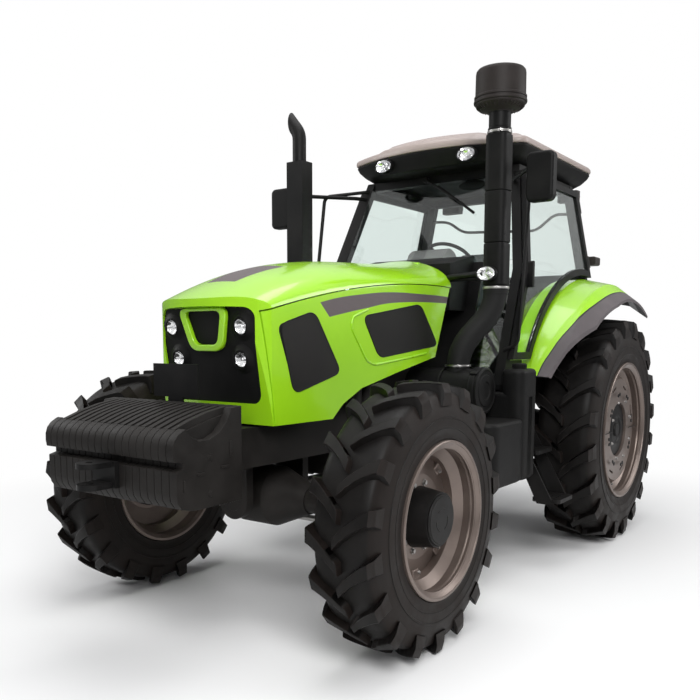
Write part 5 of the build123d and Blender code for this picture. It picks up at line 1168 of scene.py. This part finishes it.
# %% Steering wheel, pod, rail and mirror
shaping = bmesh.new()
wheel_home = at(rear_x + 0.69, 0, 2.09) @ turned(-38, "Y")
around = [math.tau * k / 12 for k in range(12)]
grip = [(0.184 + 0.013 * math.cos(angle), 0.013 * math.sin(angle)) for angle in around]
stamp(shaping, lathe(grip, 56, closed=True), [wheel_home])
hub_line = [(0, 0.012), (0.035, 0.011), (0.05, 0.004), (0.052, -0.03), (0.03, -0.04), (0.026, -0.20), (0, -0.20)]
stamp(shaping, lathe(hub_line, 32), [wheel_home])
spoke_line = [Vector((x, 0, z)) for x, z in ((0.04, -0.012), (0.09, -0.018), (0.14, -0.012), (0.18, 0))]
stamp(shaping, tube(spoke_line, 0.012, 10), [wheel_home @ turned(angle, "Z") for angle in (90, -30, 210)])
steering = finished("steering_wheel_rim", shaping, black_plastic)
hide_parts("steering_wheel")
shaping = bmesh.new()
pod = [(-0.64, 2.045), (-0.63, 2.085), (-0.57, 2.135), (-0.50, 2.155), (-0.43, 2.120), (-0.405, 2.065), (-0.405, 2.045)]
stamp(shaping, plate(rounded(pod, 0.03, 4), 0.30, 0.035, 4))
finished("instrument_pod", shaping, grey_plastic)
shaping = bmesh.new()
rail = [(-0.585, 2.515), (-0.44, 2.505), (-0.295, 2.405), (0.345, 2.37), (0.49, 2.485), (0.61, 2.475)]
stamp(shaping, tube(smooth_path([(-1.575, y, z) for y, z in rail], 0.06), 0.011))
finished("rear_window_rail", shaping, grey_plastic)
shaping = bmesh.new()
oval = [(0.105 * math.cos(math.tau * k / 28), 0.034 * math.sin(math.tau * k / 28)) for k in range(28)]
stamp(shaping, plate(oval, 0.026, 0.008, 3), [at(-0.665, 0.235, 2.600) @ turned(90, "Z")])
stalk = [Vector((x, 0.235, z)) for x, z in ((-0.665, 2.60), (-0.69, 2.66), (-0.71, 2.688))]
stamp(shaping, tube(stalk, 0.008))
finished("inside_mirror", shaping, black_plastic)
print("inside of the cab")

# %% [markdown]
# ## Outside of the cab
# A wiper hangs from the roof's edge in front of the windscreen, mirrors carry their glass to the rear, and the rear
# housings carry red and amber lenses. The turn lamps stand out in front of the intake stack on a cast arm.

# %% Wiper, mirror glass and lenses
def screen_x(z):
    """The windscreen's front face at a height."""
    return rear_x + 1.382 - 0.515 * (z - 1.22) / 1.47


shaping = bmesh.new()
sweep_line = [(screen_x(z) + 0.030, y, z) for y, z in ((-0.085, 2.655), (0.05, 2.575), (0.20, 2.478))]
stamp(shaping, tube([Vector(p) for p in sweep_line], 0.008, 10))
spindle = [(0, 0.012), (0.016, 0.010), (0.02, 0.002), (0.02, -0.03), (0, -0.03)]
stamp(shaping, lathe(spindle, 20), [at(*sweep_line[0]) @ facing_front])
blade = [Vector((screen_x(z) + 0.016, y, z)) for y, z in ((0.02, 2.598), (0.12, 2.532), (0.24, 2.450), (0.345, 2.376))]
stamp(shaping, tube(blade, 0.010, 8))
finished("wiper", shaping, black_plastic)
shaping = bmesh.new()
pane = rounded([(-0.072, -0.125), (0.072, -0.125), (0.072, 0.125), (-0.072, 0.125)], 0.03)
stamp(shaping, plate(pane, 0.004, 0.001, 1), [place @ turned(90, "Z") for place in pair(-0.0545, 1.0, 2.47)])
finished("mirror_glass", shaping, chrome, slot="steel")
for name, material, low, high in (
    ("stop_lenses", red_glass, 0.666, 0.732), ("rear_turn_lenses", amber_glass, 0.736, 0.799),
):
    shaping = bmesh.new()
    lens = block((0.012, high - low, 0.052), 0.004, 3)
    stamp(shaping, lens, pair(-1.777, (low + high) / 2, 2.118))
    finished(name, shaping, material, "chassis", "lamp_glass")
shaping = bmesh.new()
arm = [(-0.02, 0.40, 1.905), (0.04, 0.50, 1.905), (0.085, 0.62, 1.907), (0.098, 0.70, 1.908)]
for s in (-1, 1):
    stamp(shaping, tube(smooth_path([(x, s * y, z) for x, y, z in arm], 0.05), 0.019, 14))
finished("turn_lamp_arms", shaping, black_plastic)
print("outside of the cab")

# %% [markdown]
# ## Roof
# The roof is a moulded cap on a dark fascia. Seen from below, the fascia is thin at the corners and deepest in the
# middle, where it leans back towards the windscreen, and the cap has a rolled lip and a raised crown. Both are lofted
# from rings of one outline: each ring is set in by an amount and given a height that may change along the ring.

# %% Fascia and cap
fascia_low, fascia_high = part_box("roof_visor")
cap_low, cap_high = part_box("cab_roof")
front_bow = 0.19


def roof_outline(inset):
    """Straight sides, a bowed front and round corners."""
    half, rear, front = fascia_high.y - inset, fascia_low.x + inset, fascia_high.x - inset
    bow = [(front - front_bow * (k / 8) ** 2, half * k / 8) for k in range(-8, 9)]
    return rounded([(rear, -half), *bow, (rear, half)], 0.10, 4)


def loft_rings(rings):
    """A skin over rings of (inset, height), where height may be a function of x and y."""
    form = bmesh.new()
    loops = []
    for inset, height in rings:
        points = roof_outline(inset)
        verts = [form.verts.new((x, y, height(x, y) if callable(height) else height)) for x, y in points]
        loops.append([form.edges.new(pair) for pair in zip(verts, verts[1:] + verts[:1])])
    for first, second in zip(loops, loops[1:]):
        bmesh.ops.bridge_loops(form, edges=first + second)
    bmesh.ops.holes_fill(form, edges=loops[0])
    bmesh.ops.holes_fill(form, edges=loops[-1])
    return form


def lower_edge(x, y):
    """The fascia's lower edge rises towards the corners."""
    return fascia_low.z + 0.004 + 0.045 * min(1.0, abs(y) / fascia_high.y) ** 2


def crown_step(base):
    """A raised middle behind the lip."""
    def height(x, y):
        """The step fades out to the sides, and there is none at the rear."""
        step = max(0.0, min(1.0, (0.40 - abs(y)) / 0.05)) if x > -1.2 else 0.0
        return min(cap_high.z - 0.001, base + 0.012 * step)
    return height


shaping = loft_rings([
    (0.30, fascia_low.z + 0.001), (0.11, fascia_low.z + 0.001), (0.055, lower_edge),
    (0.046, lambda x, y: lower_edge(x, y) + 0.008), (0.020, 2.770), (0.008, 2.797), (0.010, 2.809),
    (0.03, 2.8095), (0.30, 2.8095),
])
fascia = finished("roof_fascia", shaping, black_plastic, sharp=40)
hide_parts("roof_visor")
lip = cap_low.z
lip_rings = ((0.30, 0.0005), (0.016, 0.0005), (0.004, 0.005), (0.001, 0.016), (0.003, 0.034))
crown_rings = ((0.010, 0.044), (0.024, 0.052), (0.060, 0.056), (0.078, 0.064), (0.090, 0.082), (0.112, 0.096),
               (0.16, 0.106), (0.30, 0.112), (0.55, 0.116))
shaping = loft_rings([(inset, lip + height) for inset, height in lip_rings]
                     + [(inset, crown_step(lip + height)) for inset, height in crown_rings])
cap = finished("roof_cap", shaping, roof_plastic, sharp=50)
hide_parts("cab_roof")
print("roof", round(cap_low.z, 3), round(cap_high.z, 3))

# %% [markdown]
# ## Intake stack
# The intake stack is a square moulding with round corners in three lengths, and on top of it sits the pre-cleaner: a
# can with a bead where its two halves are clipped together, above a cone that leads down to the neck. It is matt and
# a little browner than the stack, because the sun bleaches it.

# %% Stack and pre-cleaner
can_plastic = plain_finish("bleached_plastic", (0.020, 0.0165, 0.0155), (0.030, 0.0255, 0.024), 0.5, 0.12, bump=0.15,
                           dust=0.05, upward=0.2, specular=0.16)
stack_half, core_half = 0.070, 0.063


def square(half, corner):
    """A square outline with round corners."""
    return rounded([(-half, -half), (half, -half), (half, half), (-half, half)], corner, 5)


upright = turned(90, "X")
shaping = bmesh.new()
for low, high in ((1.842, 2.094), (2.098, 2.402), (2.406, 2.738)):
    length = plate(square(stack_half, 0.045), high - low, 0.006, 2)
    stamp(shaping, length, [at(stack_x, stack_y, (low + high) / 2) @ upright])
stamp(shaping, plate(square(core_half, 0.04), 0.89, 0.0), [at(stack_x, stack_y, 2.29) @ upright])
neck = [(0, 2.73), (0.0705, 2.73), (0.0705, 2.774), (0.066, 2.780), (0.066, 2.868), (0, 2.868)]
stamp(shaping, lathe(neck, 44), [at(stack_x, stack_y, 0)])
stack_piece = finished("stack_mouldings", shaping, black_plastic)
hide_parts("intake_stack")
shaping = bmesh.new()
can = [
    (0, 2.866), (0.070, 2.866), (0.074, 2.872), (0.112, 2.882), (0.146, 2.905), (0.149, 2.910), (0.149, 2.916),
    (0.157, 2.919), (0.159, 2.926), (0.157, 2.934), (0.151, 2.937), (0.151, 2.943), (0.156, 2.946),
    (0.156, 2.956), (0.150, 2.961), (0.1485, 3.088), (0.146, 3.102), (0.138, 3.112),
    (0.120, 3.117), (0.05, 3.1185), (0, 3.1185),
]
stamp(shaping, lathe(can, 64), [at(stack_x, stack_y, 0)])
slats = [at(stack_x, stack_y, 2.893) @ place @ turned(52, "Y") for place in ring_of(36, 0.131, 0)]
stamp(shaping, block((0.008, 0.004, 0.030), 0.0015, 1), slats)
finished("pre_cleaner_can", shaping, can_plastic, slot="black_plastic")
print("stack and pre-cleaner")

# %% [markdown]
# ## Side screens
# Each screen in the hood's side is a fine mesh behind a thin rubber edge, and the rear one lies in a scoop. The mesh is
# a pattern of holes far too fine to model, so it goes into the finish, as a grid of round pits.

# %% Screen mesh
hole_step = 0.009
screen_mesh, tree, shader = new_material("perforated_screen")
x, y, z = axes_of(tree, object_place(tree))
holes = []
for axis in (x, z):
    turn = calc(tree, calc(tree, axis, math.tau / hole_step, "MULTIPLY"), 0.0, "SINE")
    holes.append(calc(tree, turn, turn, "MULTIPLY"))
pit = above(tree, both(tree, *holes), 0.35, 0.15)
clouds = use_group(tree, cloud_group, Scale=3.0)
web = mix_colour(tree, clouds, (0.0125, 0.0115, 0.011), (0.018, 0.0165, 0.0155))
feed(tree, shader, Base_Color=mix_colour(tree, pit, web, (0.003, 0.003, 0.003)), Roughness=0.5,
     Specular_IOR_Level=0.2, Normal=bumped(tree, pit, 0.6, 0.001, invert=True))
dress("side_screens", screen_mesh)
lamp_brown = plain_finish("lamp_housing_plastic", (0.026, 0.0205, 0.019), (0.036, 0.030, 0.028), 0.42, 0.1, bump=0.1,
                          dust=0.04, upward=0.2, specular=0.25)
dress("lamp_housings", lamp_brown)
print("screens and rear housings")

# %% [markdown]
# ## Rims and tanks
# A rim is rolled from strip, so its lip is a round bead and its barrel has ridges where the tyre's edge is held. The
# lip and the ridges are one lathe profile each. The fuel tanks are blow-moulded, with wide round edges all over and a
# ribbed cap on the filler.


# %% Rim beads
def rim_bead(rim, edge):
    """The round lip and the ridges of the barrel, as two closed rings about z."""
    form = lathe([
        (rim - 0.0170, edge - 0.002), (rim - 0.0155, edge + 0.003), (rim - 0.0095, edge + 0.0045),
        (rim - 0.0035, edge + 0.003), (rim - 0.0003, edge - 0.002),
    ], 96, closed=True)
    inside = rim - 0.0364
    steps = ((0, 0.016), (0.0045, 0.019), (0.0045, 0.027), (0.0018, 0.030), (0.0018, 0.037), (0.0052, 0.040),
             (0.0052, 0.050), (0.002, 0.054), (0.002, 0.078), (0, 0.082))
    stamp(form, lathe([(inside - proud, edge - depth) for proud, depth in steps], 96, closed=True))
    return form


for end, (rim, edge) in {"front": (0.383, 0.178), "rear": (0.507, 0.206)}.items():
    for side, flip in sides.items():
        shaping = bmesh.new()
        stamp(shaping, rim_bead(rim, edge), [flip @ wheel_place(f"left_{end}_wheel")])
        finished(f"{side}_{end}_rim_beads", shaping, rim_paint, f"{side}_{end}_wheel", sharp=50)
print("rim beads")

# %% Fuel tanks
def tank_lobe(x_low, x_high, y_low, y_high, z_low, z_high, corner=0.10):
    """A moulded lobe and its place."""
    long, wide = (x_high - x_low) / 2, (y_high - y_low) / 2
    outline = rounded([(-long, -wide), (long, -wide), (long, wide), (-long, wide)], corner, 8)
    middle = ((x_low + x_high) / 2, (y_low + y_high) / 2, (z_low + z_high) / 2)
    return plate(outline, z_high - z_low, 0.028, 4), at(*middle) @ turned(90, "X")


tank_low, tank_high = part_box("fuel_tanks")
lobes = [
    tank_lobe(rear_x + 1.191, rear_x + 1.449, 0.521, 0.929, 0.621, 1.179),
    tank_lobe(rear_x + 1.372, rear_x + 1.849, 0.521, 0.929, 0.621, 1.019),
    tank_lobe(rear_x + 1.191, rear_x + 1.449, 0.767, 0.929, 0.625, 1.325, 0.075),
]
filler = at(rear_x + 1.32, 0.848, 1.322)
shaping = bmesh.new()
for form, place in lobes:
    stamp(shaping, form, [flip @ place for flip in both_sides])
cap_line = [(0, 0.038), (0.020, 0.038), (0.038, 0.036), (0.043, 0.030), (0.043, 0.010), (0.046, 0.008),
            (0.046, -0.002), (0, -0.002)]
stamp(shaping, lathe(cap_line, 40), [flip @ filler for flip in both_sides])
rib = block((0.006, 0.006, 0.022), 0.002, 1)
stamp(shaping, rib, [flip @ filler @ place for flip in both_sides for place in ring_of(20, 0.043, 0.021)])
stamp(shaping, block((0.10, 0.36, 0.05), 0.008, 2), [flip @ at(rear_x + 1.32, 0.43, 0.72) for flip in both_sides])
tanks = finished("tank_mouldings", shaping, black_plastic)
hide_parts("fuel_tanks")
print("tanks", [round(v, 3) for v in tank_low], [round(v, 3) for v in tank_high])

# %% [markdown]
# ## Scoop, engine bay and rear
# The screens are thin plates with round corners in a rubber edge, and the rear one lies in a scoop whose lip runs round
# its front and along its foot. Plates and lip are laid on the panel: each of their points is found by looking at the
# panel from the side. Under the hood there are a radiator, a fan and a rocker cover, and at the back of the cab there
# are couplings for hoses and a guard over the drive shaft's stub.

# %% Screens and the lip of the scoop
panels, screens = frame["nodes"]["hood_side_panels"], frame["nodes"]["side_screens"]


def on_panel(x, z, proud):
    """A point on the left panel's outside, seen from the left."""
    found = [node.ray_cast((x, 1.0, z), (0, -1, 0)) for node in (panels, screens)]
    heights = [place.y + extra for (hit, place, normal, index), extra in zip(found, (0.0, 0.003)) if hit]
    return Vector((x, max(heights) + proud, z)) if heights else None


screen_corners = [
    [(1.646, 1.580), (1.399, 1.648), (1.188, 1.340), (1.552, 1.2475)],
    [(0.969, 1.634), (0.385, 1.716), (0.177, 1.475), (0.817, 1.411)],
]
mesh_shape, edge_shape = bmesh.new(), bmesh.new()
for corners in screen_corners:
    middle = sum((Vector(corner) for corner in corners), Vector((0, 0))) / 4
    grown = [middle + (Vector(corner) - middle) * 1.03 for corner in corners]
    outline = [on_panel(*point, 0.001) for point in rounded(grown, 0.055, 7)]
    form = bmesh.new()
    face = form.faces.new([form.verts.new(point) for point in outline])
    pull(form, [face], (0, 0.002, 0))
    stamp(mesh_shape, form, both_sides)
    stamp(edge_shape, tube(outline + outline[:1], 0.0038, 8), both_sides)
finished("screen_panels", mesh_shape, screen_mesh, slot="black_plastic")
finished("screen_edges", edge_shape, hose_rubber)
lip_line = [(0.936, 1.675), (1.076, 1.632), (1.090, 1.575), (0.945, 1.392), (0.870, 1.368), (0.56, 1.396),
            (0.30, 1.424)]
laid = [on_panel(point.x, point.y, 0.001) for point in smooth_path(lip_line, 0.06, 6)]
shaping = bmesh.new()
stamp(shaping, tube([point for point in laid if point], 0.0065, 12), both_sides)
finished("scoop_lips", shaping, green_paint, sharp=60)
print("screens", len(screen_corners), "and a lip of", len(laid), "points")

# %% Engine bay
shaping = bmesh.new()
stamp(shaping, block((0.70, 0.20, 0.08), 0.024, 3), [at(0.60, 0, 1.518)])
stamp(shaping, block((0.028, 0.205, 0.012), 0.004, 2), [at(0.36 + 0.096 * k, 0, 1.560) for k in range(6)])
stamp(shaping, lathe([(0, 0.03), (0.03, 0.03), (0.036, 0.024), (0.036, 0), (0, 0)], 24), [at(0.31, 0.0, 1.555)])
can_line = [(0, -0.11), (0.040, -0.11), (0.048, -0.10), (0.048, 0.09), (0.040, 0.10), (0.020, 0.105), (0.020, 0.13),
            (0, 0.13)]
stamp(shaping, lathe(can_line, 28), pair(0.80, 0.305, 1.22) + pair(0.92, 0.305, 1.22))
manifold = smooth_path([(0.30, 0.262, 1.40), (0.95, 0.262, 1.40), (1.02, 0.20, 1.44)], 0.05)
stamp(shaping, tube(manifold, 0.024), both_sides)
finished("engine_covers", shaping, cast_iron)
shaping = bmesh.new()
stamp(shaping, block((0.085, 0.56, 0.50), 0.012, 2), [at(1.215, 0, 1.335)])
stamp(shaping, block((0.004, 0.50, 0.008), 0.001, 1), [at(1.2585, 0, 1.12 + 0.018 * k) for k in range(24)])
shroud = [(0.235, 0), (0.250, 0), (0.250, 0.05), (0.235, 0.05)]
stamp(shaping, lathe(shroud, 48, closed=True), [at(1.125, 0, 1.33) @ facing_front])
fan_hub = [(0, 0.03), (0.045, 0.03), (0.05, 0.02), (0.05, -0.03), (0, -0.03)]
stamp(shaping, lathe(fan_hub, 28), [at(1.11, 0, 1.33) @ facing_front])
vane = plate(rounded([(0.04, -0.028), (0.225, -0.045), (0.225, 0.045), (0.04, 0.028)], 0.02, 3), 0.004, 0.001, 1)
stamp(shaping, vane, [at(1.112, 0, 1.33) @ facing_front @ turned(60 * k, "Z") @ turned(62, "X") for k in range(6)])
finished("radiator_and_fan", shaping, black_plastic)
print("engine bay")

# %% Rear of the tractor
wall_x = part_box("cab_floor")[0].x
shaping = bmesh.new()
stamp(shaping, block((0.012, 0.60, 0.020), 0.005, 2), [at(wall_x - 0.003, 0, 1.46 + 0.085 * k) for k in range(6)])
stamp(shaping, block((0.030, 0.40, 0.095), 0.010, 2), [at(wall_x - 0.013, 0, 1.33)])
stamp(shaping, block((0.10, 0.20, 0.008), 0.003, 2), [at(-1.842, 0, 0.792)])
stamp(shaping, block((0.10, 0.008, 0.11), 0.003, 2), pair(-1.842, 0.096, 0.737))
finished("rear_wall_fittings", shaping, black_paint)
shaping = bmesh.new()
coupler = [(0, 0.044), (0.012, 0.044), (0.014, 0.050), (0.020, 0.050), (0.022, 0.044), (0.022, 0.030), (0.018, 0.027),
           (0.018, 0.0), (0, 0)]
sockets = [at(wall_x - 0.027, 0.07 * k, z) @ facing_back for k in range(-2, 3) for z in (1.352, 1.308)]
stamp(shaping, lathe(coupler, 24), sockets)
spline = block((0.070, 0.007, 0.006), 0.0015, 1)
stamp(shaping, spline, [at(-1.862, 0, 0.69) @ turned(60 * k, "X") @ at(0, 0, 0.0185) for k in range(6)])
finished("couplings_and_splines", shaping, bare_steel)
print("rear fittings")
